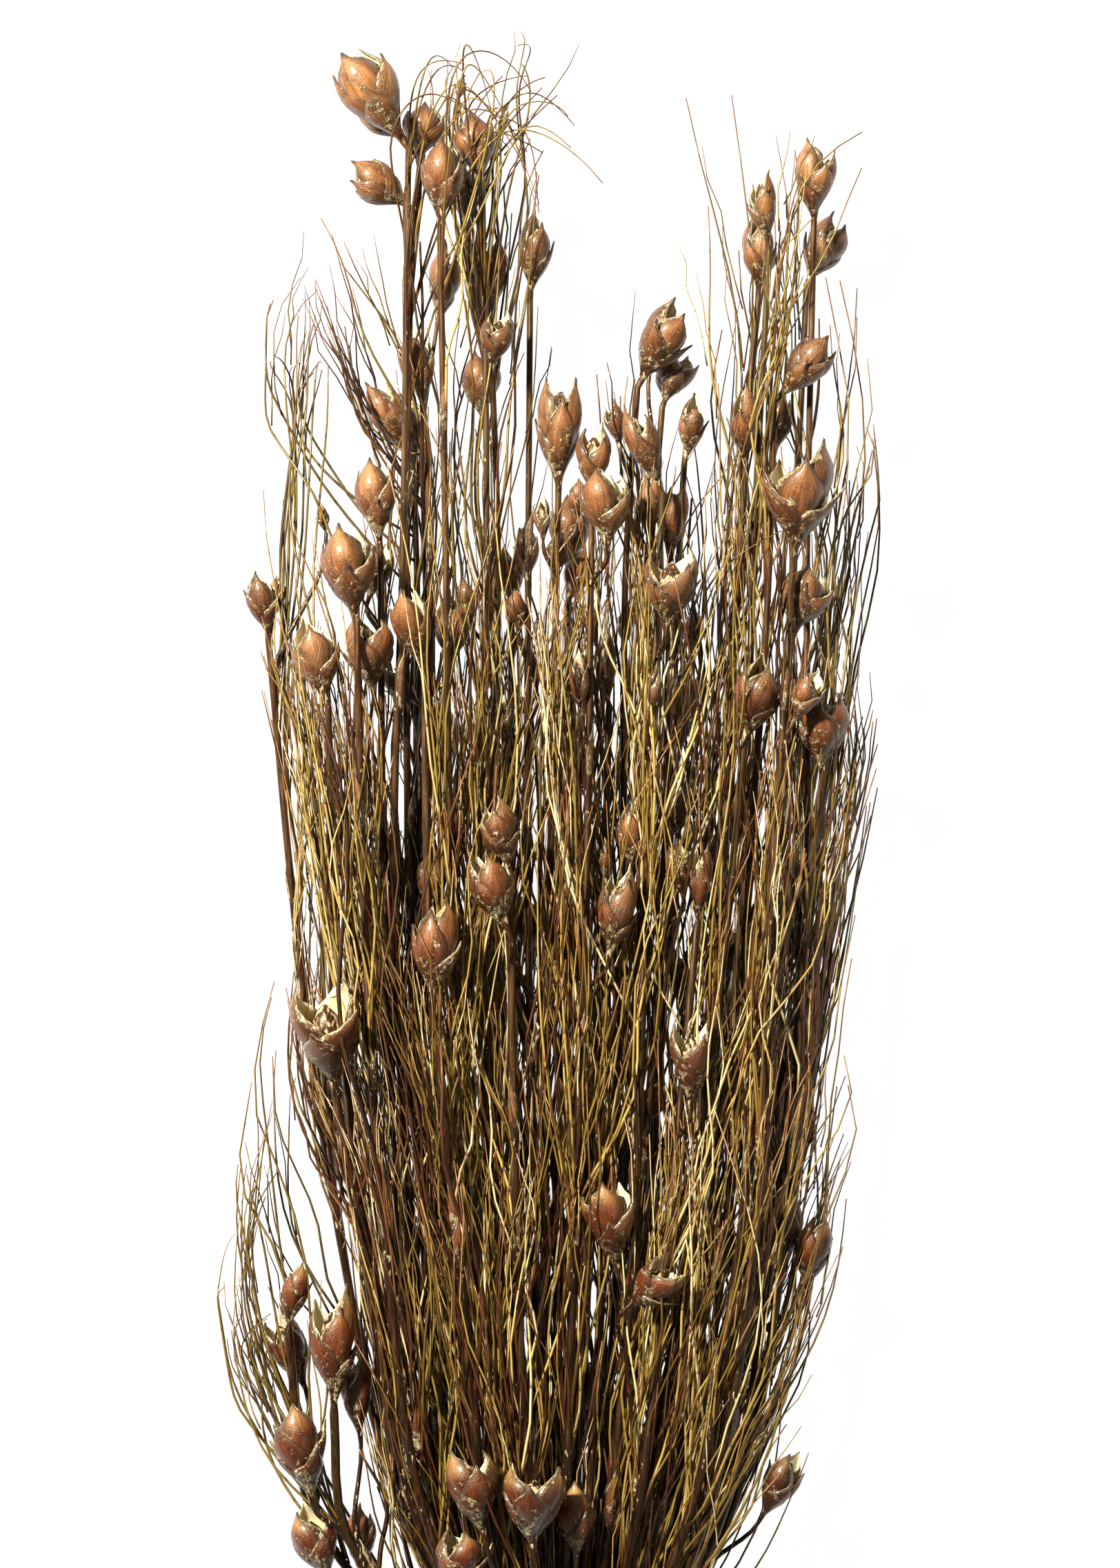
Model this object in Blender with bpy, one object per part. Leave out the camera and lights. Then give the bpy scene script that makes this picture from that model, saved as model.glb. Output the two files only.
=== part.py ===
"""A bunch of dried bell reed, tied near its cut ends and lying on its side.

The bunch lies along +Y with its heads at the far end, +X to the right and +Z up.
Every stem is one solid: a culm, its side stalks, the bell-shaped heads of overlapping
bracts, and some of the wiry barren branchlets that rise from its joints.
"""
import math
import random

import bmesh
import bpy
import numpy as np
from mathutils import Vector

# Driving sizes, in millimetres. Y is counted from the cut ends, X from the middle of the bunch.
MM = 0.001
SEED = 41
TIE_Y = 70.0
TIE_WIDTH = 15.0
TIE_TURNS = 4
TIE_DEPTH = 3.0
FAN_START_Y = 90.0
SHOULDER_Y = 200.0
BUNCH_MIDDLE_Z = 43.0
SHOULDER_MIDDLE_Z = 36.0
BUNCH_HALF_DEPTH = 37.0
BUNCH_HALF_WIDTH = 116.0
SHOULDER_LEFT = -58.0
SHOULDER_RIGHT = 62.0
SHOULDER_DEPTH_SHARE = 0.72
CULM_BUTT_RADIUS = 1.85
CULM_TOP_RADIUS = 1.15
SHEATH_SWELL = 1.4
SHEATH_LENGTH = 14.0
SHEATH_REACH = 32.0
STALK_RADIUS = 1.0
SLIM_HEAD = 11.2
HEAD_SIDES = 6
SLIM_HEAD_SIDES = 4
THREAD_RADIUS = 0.52
THREAD_SIDES = 3
CLEARANCE = 0.25
TIE_GAP = 0.55
STATIONS = (0.0, 62.0, 90.0, 140.0, 200.0, 310.0, 430.0, 560.0)
BUTT_FLARE = 0.16
CULM_WAVER = 1.4
WAVER_ONSET = 150.0
WAVER_LENGTH_X = 31.0
WAVER_LENGTH_Z = 37.0
CULM_TAPER_END_Y = 560.0
TOP_INSET = 4.0
TOP_MARGIN = 22.0
TOP_TILTS = (0.0, 5.0, -5.0, 11.0, -11.0)
TOP_STEPS = 32
TOP_STEP = 2.2
STALK_REACHES = (12.0, 18.0, 28.0, 40.0, 55.0, 75.0)
STALK_TOP_MARGIN = 14.0
STALK_LOWEST_FOOT_Y = 100.0
STALK_SLANT = 0.9
HEIGHT_STEP = 2.5
HEIGHT_STEPS = 14
OFF_COST, REACH_COST, HEIGHT_COST = 1.5, 0.25, 0.9
CULM_LOWEST_Z = 3.0
THREAD_TRIES = 60
THREAD_LOWEST_Z = 3.0
THREAD_HIGHEST_Z = 86.0
THREAD_FOOT_SPREAD = 14.0
THREAD_CUTS = (0.0, 0.34, 0.68, 1.0)
TIE_SIDES = 16
TIE_GROOVE = 0.6
ORIGIN_X = -6.7
ORIGIN_Y = 368.0

# Heads that end a stem: tip X, tip Y, base X, base Y, width, how far open (0 to 1), depth
# (0.3 on the underside, 0.9 on top), and the stem's place across the shoulder where it is set.
TOP_HEADS = (
    (-80, 735, -56, 702, 18, 0.3, 0.80, None), (-77, 693, -55, 681, 13, 0.2, 0.70, None),
    (-42, 702, -44, 673, 13.5, 0.2, 0.85, None), (-33, 712, -28, 690, 13.5, 0.2, 0.70, None),
    (-8, 677, -11, 649, 10.5, 0.2, 0.60, None), (-23, 668, -24, 640, 11, 0.1, 0.60, None),
    (-54, 638, -50, 608, 11.5, 0.2, 0.60, None), (-70, 616, -55, 591, 12, 0.2, 0.50, None),
    (-68, 587, -65, 558, 12.5, 0.2, 0.70, None), (-1, 621, -2, 577, 14, 0.3, 0.60, None),
    (-111, 548, -107, 525, 10, 0.2, 0.50, None), (-79, 562, -74, 530, 16, 0.5, 0.90, None),
    (-93, 530, -85, 501, 14, 0.5, 0.80, None), (-58, 541, -50, 512, 12, 0.3, 0.70, None),
    (43, 643, 27, 617, 14, 0.6, 0.60, None), (44, 628, 37, 610, 11.5, 0.6, 0.60, None),
    (49, 611, 44, 590, 9, 0.3, 0.50, None), (14, 600, 13, 576, 11.5, 0.2, 0.70, None),
    (26, 606, 38, 578, 11, 0.2, 0.70, None), (43, 581, 41, 552, 9.5, 0.2, 0.60, None),
    (94, 703, 93, 675, 12.5, 0.5, 0.60, None), (102, 676, 90, 655, 13, 0.3, 0.40, None),
    (72, 693, 76, 666, 9, 0.3, 0.60, None), (71, 677, 71, 650, 11, 0.1, 0.50, None),
    (100, 631, 79, 611, 12, 0.5, 0.70, None), (68, 613, 69, 587, 10, 0.1, 0.50, None),
    (88, 593, 84, 553, 19, 0.7, 0.90, None), (92, 548, 83, 525, 15, 0.5, 0.80, None),
    (76, 515, 68, 487, 15, 0.2, 0.70, None), (96, 505, 95, 476, 16, 0.2, 0.80, None),
    (-19, 557, -18, 536, 10, 0.1, 0.50, None), (11, 555, 4, 538, 9, 0.1, 0.50, None),
    (17, 526, 19, 500, 7.5, 0.1, 0.60, None), (-25, 465, -18, 441, 12, 0.2, 0.80, None),
    (26, 463, 26, 440, 9, 0.1, 0.60, None), (51, 450, 49, 421, 8, 0.1, 0.70, None),
    (-43, 430, -45, 393, 15, 0.2, 0.90, None), (-85, 398, -80, 361, 19, 1.0, 0.80, None),
    (87, 388, 83, 366, 10, 0.3, 0.50, None), (-83, 288, -82, 246, 14, 0.6, 0.80, -78),
    (-95, 297, -99, 275, 9, 0.1, 0.60, -88),
)

# Heads on side stalks, in the same order without the last value.
SIDE_HEADS = (
    (-74, 718, -55, 701, 10, 0.1, 0.60), (-48, 716, -51, 693, 13, 0.3, 0.50),
    (-35, 725, -37, 716, 3.6, 0.0, 0.50), (-34, 695, -34, 668, 10, 0.1, 0.50),
    (-40, 666, -45, 635, 11, 0.1, 0.30), (-21, 641, -25, 617, 11, 0.2, 0.70),
    (-29, 626, -28, 601, 12.5, 0.3, 0.40), (-7, 575, -6, 555, 5.5, 0.1, 0.80),
    (-87, 571, -85, 560, 4.5, 0.0, 0.50), (-102, 546, -105, 527, 6, 0.1, 0.50),
    (-63, 558, -70, 534, 10, 0.2, 0.60), (-70, 531, -67, 501, 15, 0.4, 0.90),
    (-39, 538, -39, 511, 12, 0.1, 0.60), (-65, 511, -50, 497, 8, 0.1, 0.70),
    (-34, 545, -32, 527, 8, 0.1, 0.40), (38, 641, 33, 621, 9, 0.3, 0.40),
    (18, 609, 22, 590, 7, 0.1, 0.50), (6, 581, 6, 563, 7, 0.1, 0.60),
    (16, 585, 17, 552, 15.5, 0.3, 0.90), (33, 586, 32, 555, 9, 0.1, 0.70),
    (41, 555, 38, 523, 15, 0.7, 0.80), (1, 561, -3, 543, 8, 0.1, 0.40),
    (-13, 565, -11, 542, 8, 0.1, 0.40), (-17, 541, -15, 523, 7, 0.1, 0.60),
    (-10, 518, -8, 501, 4.5, 0.0, 0.50), (-21, 501, -19, 483, 6, 0.1, 0.60),
    (77, 668, 74, 651, 6, 0.1, 0.30), (82, 613, 78, 588, 9, 0.1, 0.40),
    (93, 510, 83, 490, 9, 0.4, 0.70), (24, 535, 23, 517, 6, 0.1, 0.50),
    (49, 533, 48, 516, 8, 0.1, 0.40), (6, 518, 8, 492, 6.5, 0.1, 0.70),
    (36, 513, 31, 491, 5.5, 0.1, 0.70), (-30, 447, -18, 415, 14, 0.2, 0.85),
    (23, 441, 17, 404, 12.5, 0.1, 0.80), (14, 451, 17, 431, 6, 0.4, 0.70),
    (46, 468, 39, 447, 9, 0.1, 0.50), (41, 450, 45, 426, 9, 0.1, 0.60),
    (59, 452, 56, 436, 8, 0.1, 0.50), (-47, 443, -48, 423, 9, 0.3, 0.60),
    (-58, 445, -53, 416, 9, 0.3, 0.50), (28, 421, 23, 402, 9, 0.4, 0.60),
    (-7, 387, -7, 358, 7, 0.1, 0.70), (47, 386, 47, 351, 12, 0.6, 0.80),
    (37, 363, 29, 343, 9, 0.1, 0.60), (23, 350, 22, 331, 8, 0.4, 0.60),
    (79, 396, 78, 378, 7, 0.1, 0.30), (16, 328, 21, 292, 14, 0.9, 0.90),
    (43, 298, 23, 280, 12, 0.9, 0.85), (62, 313, 59, 288, 11, 0.5, 0.60),
    (84, 320, 82, 293, 9, 0.1, 0.50), (94, 315, 89, 283, 11.5, 0.2, 0.60),
    (39, 278, 43, 258, 7, 0.6, 0.70), (-105, 278, -92, 248, 12.5, 0.3, 0.70),
    (-75, 266, -72, 230, 11, 0.2, 0.60), (-98, 248, -89, 208, 15, 0.5, 0.80),
    (-93, 208, -83, 178, 14, 0.3, 0.80), (-72, 208, -73, 181, 10, 0.2, 0.60),
    (-30, 231, -23, 198, 15, 0.5, 0.80), (-9, 226, -10, 193, 17, 0.8, 0.90),
    (1, 217, 2, 188, 12, 0.2, 0.85), (-30, 201, -24, 176, 15, 0.5, 0.80),
    (58, 252, 61, 223, 10.5, 0.3, 0.60), (57, 226, 49, 201, 12, 0.2, 0.50),
    (87, 228, 72, 201, 11.5, 0.2, 0.60), (44, 410, 43, 388, 10, 0.1, 0.50),
    (-83, 468, -83, 450, 4.5, 0.0, 0.60),
)

# Heads on the hidden underside. The first ones reach the surface that the bunch lies on.
UNDER_HEADS = (
    (-46, 500, -42, 470, 14, 0.2, 0.0), (48, 512, 44, 482, 14, 0.2, 0.0),
    (-36, 322, -32, 292, 13, 0.2, 0.0), (38, 318, 34, 288, 13, 0.2, 0.0),
    (4, 574, 3, 545, 13, 0.2, 0.35), (-12, 432, -10, 404, 13, 0.3, 0.30),
    (66, 420, 60, 392, 12, 0.2, 0.32), (-66, 408, -60, 380, 12, 0.2, 0.32),
    (12, 262, 10, 236, 12, 0.3, 0.30), (-58, 612, -52, 586, 12, 0.2, 0.32),
)
SHOULDER_NUDGES = ((0.0, 0.0), (1.6, 3.0), (-1.6, -3.0), (-4.0, 2.0), (3.0, -6.0))
RESTING_HEADS = 4
SIDE_HEAD_TRIES = 500
HEAD_NUDGES = (0.0, 4.0, -4.0, 8.0, -8.0)
RESTING_SINK = 0.6

# Tufts of barren branchlets: root X, root Y, middle X, middle Y, tip X, tip Y, spread at the tips,
# depth, branchlets made here.
TUFTS = (
    (-48, 578, -63, 622, -84, 676, 9, 0.60, 3), (-28, 628, -30, 690, -12, 728, 14, 0.55, 2),
    (-93, 528, -102, 603, -104, 650, 3, 0.50, 2), (-86, 553, -91, 591, -89, 623, 5, 0.50, 2),
    (-43, 378, -40, 503, -43, 594, 8, 0.85, 3), (-28, 378, -28, 503, -30, 604, 8, 0.70, 1),
    (-1, 403, 0, 503, -3, 578, 8, 0.80, 2), (29, 428, 29, 528, 23, 598, 9, 0.70, 2),
    (69, 528, 67, 603, 62, 721, 2, 0.60, 2), (74, 553, 80, 653, 94, 706, 4, 0.60, 2),
    (72, 553, 80, 628, 117, 696, 3, 0.70, 1), (80, 378, 97, 528, 100, 653, 4, 0.60, 2),
    (82, 378, 107, 528, 113, 603, 5, 0.50, 2), (77, 353, 102, 441, 112, 498, 7, 0.60, 2),
    (72, 328, 95, 391, 109, 466, 6, 0.40, 2), (60, 203, 85, 278, 97, 366, 9, 0.60, 2),
    (47, 203, 67, 278, 80, 378, 10, 0.85, 2), (22, 203, 37, 278, 60, 378, 11, 0.80, 2),
    (-83, 190, -103, 303, -105, 396, 4, 0.60, 2), (-85, 253, -95, 316, -103, 378, 4, 0.50, 2),
    (-93, 228, -110, 291, -117, 333, 4, 0.60, 2), (-90, 203, -120, 258, -135, 286, 4, 0.60, 2),
    (-86, 191, -108, 241, -115, 278, 4, 0.70, 2), (-78, 403, -93, 478, -104, 528, 6, 0.60, 2),
    (-68, 378, -78, 453, -83, 503, 6, 0.50, 2), (-58, 353, -63, 428, -65, 483, 7, 0.60, 1),
    (-63, 253, -63, 328, -80, 363, 5, 0.60, 2), (-43, 190, -43, 253, -53, 303, 7, 0.70, 1),
    (-13, 193, -18, 278, -13, 378, 8, 0.80, 2), (2, 203, 4, 328, 0, 428, 8, 0.70, 2),
    (12, 303, 17, 403, 22, 491, 8, 0.80, 2), (60, 378, 62, 478, 62, 578, 8, 0.85, 2),
    (45, 428, 50, 503, 57, 578, 8, 0.70, 1), (-13, 378, -18, 453, -6, 541, 8, 0.60, 2),
    (-28, 528, -23, 603, -16, 691, 6, 0.70, 2), (12, 428, 5, 503, 14, 563, 8, 0.60, 2),
    (-40, 278, -33, 378, -23, 478, 8, 0.80, 2), (20, 250, 24, 340, 30, 430, 10, 0.32, 2),
    (-20, 250, -24, 340, -30, 430, 10, 0.32, 2), (50, 260, 58, 350, 66, 440, 10, 0.34, 2),
    (-50, 260, -58, 350, -66, 450, 10, 0.34, 2), (10, 400, 12, 480, 14, 560, 9, 0.32, 2),
    (-40, 400, -44, 480, -48, 560, 9, 0.32, 2), (50, 420, 56, 500, 60, 570, 9, 0.34, 2),
)


class Room:
    """Keeps the round-ended rods that stand for what is placed, with the stem each belongs to."""

    def __init__(self):
        self.start = np.zeros((0, 3))
        self.end = np.zeros((0, 3))
        self.radius = np.zeros(0)
        self.owner = np.zeros(0, dtype=int)

    def add(self, rods, owner):
        start, end, radius = rods
        self.start = np.vstack((self.start, start))
        self.end = np.vstack((self.end, end))
        self.radius = np.concatenate((self.radius, radius))
        self.owner = np.concatenate((self.owner, np.full(len(radius), owner)))

    def is_free(self, rods, owner, own_gap=None):
        """True where the rods stay clear of every other stem, and of the same stem by own_gap."""
        start, end, radius = rods
        low = np.minimum(start, end).min(0) - radius.max() - CLEARANCE
        high = np.maximum(start, end).max(0) + radius.max() + CLEARANCE
        reach = self.radius[:, None]
        near = (np.maximum(self.start, self.end) + reach > low).all(1)
        near &= (np.minimum(self.start, self.end) - reach < high).all(1)
        if own_gap is None:
            near &= self.owner != owner
        if not near.any():
            return True
        gap = rod_gaps(rods, (self.start[near], self.end[near], self.radius[near]))
        own = self.owner[near] == owner
        limit = np.where(own, own_gap if own_gap is not None else 0.0, CLEARANCE)
        return bool((gap > limit[None]).all())


def rod_gaps(rods_a, rods_b):
    """Clear distance between every rod of one set and every rod of the other."""
    start_a, end_a, radius_a = rods_a
    start_b, end_b, radius_b = rods_b
    along_a = (end_a - start_a)[:, None]
    along_b = (end_b - start_b)[None]
    between = start_a[:, None] - start_b[None]
    aa = np.maximum((along_a * along_a).sum(-1), 1e-9)
    bb = np.maximum((along_b * along_b).sum(-1), 1e-9)
    ab = (along_a * along_b).sum(-1)
    ac = (along_a * between).sum(-1)
    bc = (along_b * between).sum(-1)
    spread = aa * bb - ab * ab
    s = np.where(spread > 1e-9, (ab * bc - ac * bb) / np.maximum(spread, 1e-9), 0.0)
    s = np.clip(s, 0.0, 1.0)
    t = np.clip((ab * s + bc) / bb, 0.0, 1.0)
    s = np.clip((ab * t - ac) / aa, 0.0, 1.0)
    nearest = between + along_a * s[..., None] - along_b * t[..., None]
    return np.linalg.norm(nearest, axis=-1) - radius_a[:, None] - radius_b[None]


def rods_of(points, radii):
    """Rods along a row of points; each takes the larger radius of its two ends."""
    points = np.asarray(points, dtype=float)
    radii = np.asarray(radii, dtype=float)
    return points[:-1], points[1:], np.maximum(radii[:-1], radii[1:])


def hermite(t, start, start_slope, end, end_slope, length):
    """Smooth blend between two values whose slopes are per millimetre of length."""
    t2 = t * t
    t3 = t2 * t
    blend = (2 * t3 - 3 * t2 + 1) * start + (3 * t2 - 2 * t3) * end
    return blend + ((t3 - 2 * t2 + t) * start_slope + (t3 - t2) * end_slope) * length


def depth_to_z(x, depth):
    """Height in the bunch, whose cross-section is a flattened round."""
    share = (depth - 0.3) / 0.3 - 1.0
    narrowing = math.sqrt(max(0.2, 1.0 - (x / BUNCH_HALF_WIDTH) ** 2))
    return BUNCH_MIDDLE_Z + share * BUNCH_HALF_DEPTH * narrowing


def tie_slots(count):
    """Places of the stems in the tie, packed like cells of a honeycomb."""
    pitch = 2.0 * CULM_BUTT_RADIUS + TIE_GAP
    row = pitch * math.sqrt(3.0) / 2.0
    cells = []
    for column in range(-6, 7):
        for step in range(-6, 7):
            x = column * row
            z = (step + 0.5 * (column % 2)) * pitch
            cells.append((math.hypot(x - 0.3, z - 0.7), column, x, z))
    cells.sort()
    return sorted((column, z, x) for _, column, x, z in cells[:count])


def bundle_radius():
    """Radius round the outermost stems in the tie, measured from the tie's middle."""
    slots = tie_slots(len(TOP_HEADS))
    return max(math.hypot(x, z) for _, z, x in slots) + CULM_BUTT_RADIUS


TIE_INNER = bundle_radius() + CLEARANCE
TIE_Z = TIE_INNER + TIE_DEPTH


class Stem:
    """One culm: a smooth route from the butt through the tie and the shoulder to its top."""

    def __init__(self, index, head, slot, shoulder):
        self.index = index
        self.slot_x, self.slot_z = slot
        self.top = (float(head[2]), float(head[3]))
        self.shoulder_x, self.shoulder_z = shoulder
        self.depth = head[6]
        dice = random.Random(SEED * 100 + index)
        self.phase = dice.uniform(0.0, math.tau)
        self.joint_share = dice.uniform(0.25, 0.6)
        self.points = self.route(0.0, self.phase)

    def route(self, shift, phase):
        """Points of the culm, with its top raised or lowered by shift and its waver begun at phase."""
        top_x, top_y = self.top
        top_z = depth_to_z(top_x, self.depth) + shift
        ys = [y for y in STATIONS if y < top_y - TOP_MARGIN] + [top_y - TOP_INSET]
        rise = SHOULDER_Y - FAN_START_Y
        run = max(top_y - SHOULDER_Y, 30.0)
        points = []
        for y in ys:
            if y <= FAN_START_Y:
                grow = 1.0 + BUTT_FLARE * max(0.0, 1.0 - y / TIE_Y) ** 1.5
                points.append((self.slot_x * grow, y, TIE_Z + self.slot_z * grow))
                continue
            row = []
            for start, shoulder, top in ((self.slot_x, self.shoulder_x, top_x),
                                         (TIE_Z + self.slot_z, self.shoulder_z, top_z)):
                top_slope = (top - shoulder) / run
                slope = 0.55 * (shoulder - start) / rise + 0.45 * top_slope
                if y <= SHOULDER_Y:
                    t = (y - FAN_START_Y) / rise
                    row.append(hermite(t, start, 0.3 * (shoulder - start) / rise, shoulder, slope, rise))
                else:
                    t = (y - SHOULDER_Y) / run
                    row.append(hermite(t, shoulder, slope, top, 0.8 * top_slope, run))
            waver = CULM_WAVER * min(1.0, max(0.0, (y - SHOULDER_Y) / WAVER_ONSET))
            points.append((row[0] + waver * math.sin(y / WAVER_LENGTH_X + phase), y,
                           row[1] + waver * math.cos(y / WAVER_LENGTH_Z + phase)))
        return np.array(points)

    def radius_at(self, y):
        share = min(1.0, max(0.0, (y - TIE_Y) / (CULM_TAPER_END_Y - TIE_Y)))
        return CULM_BUTT_RADIUS + (CULM_TOP_RADIUS - CULM_BUTT_RADIUS) * share

    def settle(self, points):
        """Takes the route as placed and puts a sheathed joint on it."""
        self.points = points
        top_y = points[-1][1]
        self.sheath_y = min(SHOULDER_Y + self.joint_share * (top_y - SHOULDER_Y), top_y - 60.0)

    def at(self, y):
        """Middle of the culm at a distance from the butts."""
        return np.array([np.interp(y, self.points[:, 1], self.points[:, k]) for k in range(3)])

    def outline(self):
        """Rings of the culm, with the sheath's foot and lip between the stations."""
        foot = self.sheath_y
        lip = foot + SHEATH_LENGTH
        thick = self.radius_at(foot) * SHEATH_SWELL
        rows = [(tuple(p), self.radius_at(p[1])) for p in self.points]
        clear = [row for row in rows[3:-1] if not foot - SHEATH_REACH < row[0][1] < lip + SHEATH_REACH]
        rows = rows[:3] + clear + rows[-1:]
        rows.append((tuple(self.at(foot)), thick))
        rows.append((tuple(self.at(lip)), thick))
        rows.append((tuple(self.at(lip + 1.5)), self.radius_at(lip)))
        rows.sort(key=lambda row: row[0][1])
        return rows


def culm_rods(stem):
    rows = stem.outline()
    return rods_of([row[0] for row in rows], [row[1] for row in rows])


def head_rings(width, openness):
    """Rings of a head: shares of its length and radii, at the bract tips and between them, and the
    corner where the tips begin."""
    belly = width / 2.0
    return (
        ((0.20, 0.20), (belly * 0.36, belly * 0.36), 0),
        ((0.44, 0.44), (belly * 1.00, belly * 0.94), 0),
        ((0.80, 0.60), (belly * 0.64 * (1.0 + 1.1 * openness), belly * 0.96), 0),
        ((0.60, 0.60), (belly * 0.70, belly * 0.62), 0),
        ((1.00, 0.76), (belly * (0.10 + 0.65 * openness), belly * 0.50), 1),
    )


def head_rods(base, tip, width, openness):
    """Rods that hold a whole head."""
    base = np.asarray(base)
    along = np.asarray(tip) - base
    belly = width / 2.0
    flare = 1.0 + 0.55 * openness
    cuts = (0.0, 0.22, 0.42, 0.62, 0.86, 1.0)
    radii = (belly * 0.40, belly * 0.62, belly * 1.0, belly * max(1.0, 0.9 * flare),
             belly * (0.45 + 0.5 * openness))
    points = [base + along * cut for cut in cuts]
    return np.array(points[:-1]), np.array(points[1:]), np.array(radii)


def stalk_route(start, start_way, end, end_way):
    """Points of a stalk that leaves a culm and bends into the head's own line."""
    length = float(np.linalg.norm(end - start))
    points = []
    for t in (0.0, 0.5, 1.0):
        points.append([hermite(t, start[k], start_way[k], end[k], end_way[k], length) for k in range(3)])
    return np.array(points)


class Bunch:
    """Places the stems, heads and branchlets so that no stem touches another."""

    def __init__(self):
        self.room = Room()
        self.stems = []
        self.heads = []
        self.threads = []
        self.place_stems()
        self.place_side_heads()
        self.place_tufts()

    def place_stems(self):
        slots = tie_slots(len(TOP_HEADS))
        ranked = sorted(range(len(TOP_HEADS)), key=lambda i: (TOP_HEADS[i][7] or 0, TOP_HEADS[i][2]))
        free = [i for i in ranked if TOP_HEADS[i][7] is None]
        shoulders = {i: float(TOP_HEADS[i][7]) for i in ranked if TOP_HEADS[i][7] is not None}
        for rank, i in enumerate(sorted(free, key=lambda i: TOP_HEADS[i][2])):
            share = (rank + 0.5) / len(free)
            shoulders[i] = SHOULDER_LEFT + (SHOULDER_RIGHT - SHOULDER_LEFT) * share
        order = sorted(range(len(TOP_HEADS)), key=lambda i: shoulders[i])
        columns = {}
        for column, z, x in slots:
            columns.setdefault(column, []).append((z, x))
        cursor = 0
        for column in sorted(columns):
            cells = sorted(columns[column])
            members = order[cursor:cursor + len(cells)]
            cursor += len(cells)
            members.sort(key=lambda i: TOP_HEADS[i][6] + 0.001 * i)
            for rank, ((z, x), i) in enumerate(zip(cells, members)):
                depth = 0.3 + 0.6 * (rank + 0.5) / len(cells)
                shoulder_z = depth_to_z(shoulders[i], depth) - BUNCH_MIDDLE_Z
                shoulder_z = SHOULDER_MIDDLE_Z + shoulder_z * SHOULDER_DEPTH_SHARE
                self.stems.append(Stem(i, TOP_HEADS[i], (x, z), (shoulders[i], shoulder_z)))
        for stem in sorted(self.stems, key=lambda s: -s.top[1]):
            if not self.place_stem(stem):
                print("no room for stem", stem.index)
        self.stems.sort(key=lambda s: s.index)

    def place_stem(self, stem):
        """Tries heights of the top, starting points of the waver and tilts of the top head."""
        row = TOP_HEADS[stem.index]
        lean = np.array([row[0] - row[2], row[1] - row[3] + TOP_INSET, 0.0])
        home_x, home_z = stem.shoulder_x, stem.shoulder_z
        for step in range(TOP_STEPS * len(SHOULDER_NUDGES)):
            shift = (step % TOP_STEPS + 1) // 2 * TOP_STEP * (-1 if step % 2 else 1)
            aside, raised = SHOULDER_NUDGES[step // TOP_STEPS]
            stem.shoulder_x = home_x + aside
            stem.shoulder_z = home_z + raised
            for turn in range(4):
                points = stem.route(shift, stem.phase + turn * math.tau / 4)
                stem.settle(points)
                rods = culm_rods(stem)
                if rods[1][:, 2].min() < CULM_LOWEST_Z or not self.room.is_free(rods, stem.index):
                    continue
                for tilt in TOP_TILTS:
                    tip = points[-1] + lean + np.array([0.0, 0.0, tilt])
                    head = head_rods(points[-1], tip, row[4], row[5])
                    if tip[2] < row[4] / 2 or not self.room.is_free(head, stem.index):
                        continue
                    self.room.add(rods, stem.index)
                    self.room.add(head, stem.index)
                    stem.head = (tip, row[4], row[5])
                    return True
        return False

    def place_side_heads(self):
        rows = [row + (False,) for row in SIDE_HEADS]
        rows += [row + (i < RESTING_HEADS,) for i, row in enumerate(UNDER_HEADS)]
        rows.sort(key=lambda row: (not row[7], -row[4]))
        for row in rows:
            if not any(self.place_side_head(row, aside) for aside in HEAD_NUDGES):
                print("no room for side head", row)

    def place_side_head(self, row, aside):
        """Finds the height and the culm that give a head the shortest free stalk."""
        tip_x, tip_y, base_x, base_y, width, openness, depth, resting = row
        tip_x += aside
        base_x += aside
        if resting:
            hint = width / 2.0 * 0.9 - RESTING_SINK
            heights = (hint,)
        else:
            hint = depth_to_z(base_x, depth)
            heights = [hint + k * HEIGHT_STEP * side for k in range(HEIGHT_STEPS) for side in (1, -1)]
            heights = [z for z in heights if width / 2.0 + RESTING_SINK < z < 2.0 * BUNCH_MIDDLE_Z]
        lean = np.array([tip_x - base_x, tip_y - base_y, 0.0], dtype=float)
        tries = []
        for z in heights:
            base = np.array([base_x, base_y, z])
            for reach in STALK_REACHES:
                for stem in self.stems:
                    foot_y = base_y - reach
                    if foot_y > stem.points[-1][1] - STALK_TOP_MARGIN or foot_y < STALK_LOWEST_FOOT_Y:
                        continue
                    foot = stem.at(foot_y)
                    off = math.hypot(foot[0] - base[0], foot[2] - base[2])
                    if off > reach * STALK_SLANT + TOP_INSET:
                        continue
                    cost = off * OFF_COST + reach * REACH_COST + abs(z - hint) * HEIGHT_COST
                    tries.append((cost, stem.index, foot_y, z))
        tries.sort()
        for _, index, foot_y, z in tries[:SIDE_HEAD_TRIES]:
            stem = self.stems[index]
            base = np.array([base_x, base_y, z])
            tip = base + lean
            rods = head_rods(base, tip, width, openness)
            if not self.room.is_free(rods, index, own_gap=-0.8):
                continue
            foot = stem.at(foot_y)
            way = (stem.at(foot_y + 6.0) - foot) / 6.0
            line = lean / np.linalg.norm(lean)
            route = stalk_route(foot, way * 0.8, base, line * 0.9)
            rods_stalk = rods_of(route, [STALK_RADIUS] * len(route))
            if rods_stalk[0][:, 2].min() < 1.2 or not self.room.is_free(rods_stalk, index):
                continue
            self.room.add(rods, index)
            self.room.add(rods_stalk, index)
            self.heads.append((index, route, tip, width, openness))
            return True
        return False

    def place_tufts(self):
        for number, tuft in enumerate(TUFTS):
            dice = random.Random(SEED * 1000 + number)
            for _ in range(tuft[8]):
                for _ in range(THREAD_TRIES):
                    if self.place_thread(tuft, dice):
                        break
                else:
                    print("no room for a branchlet of tuft", number)

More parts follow.
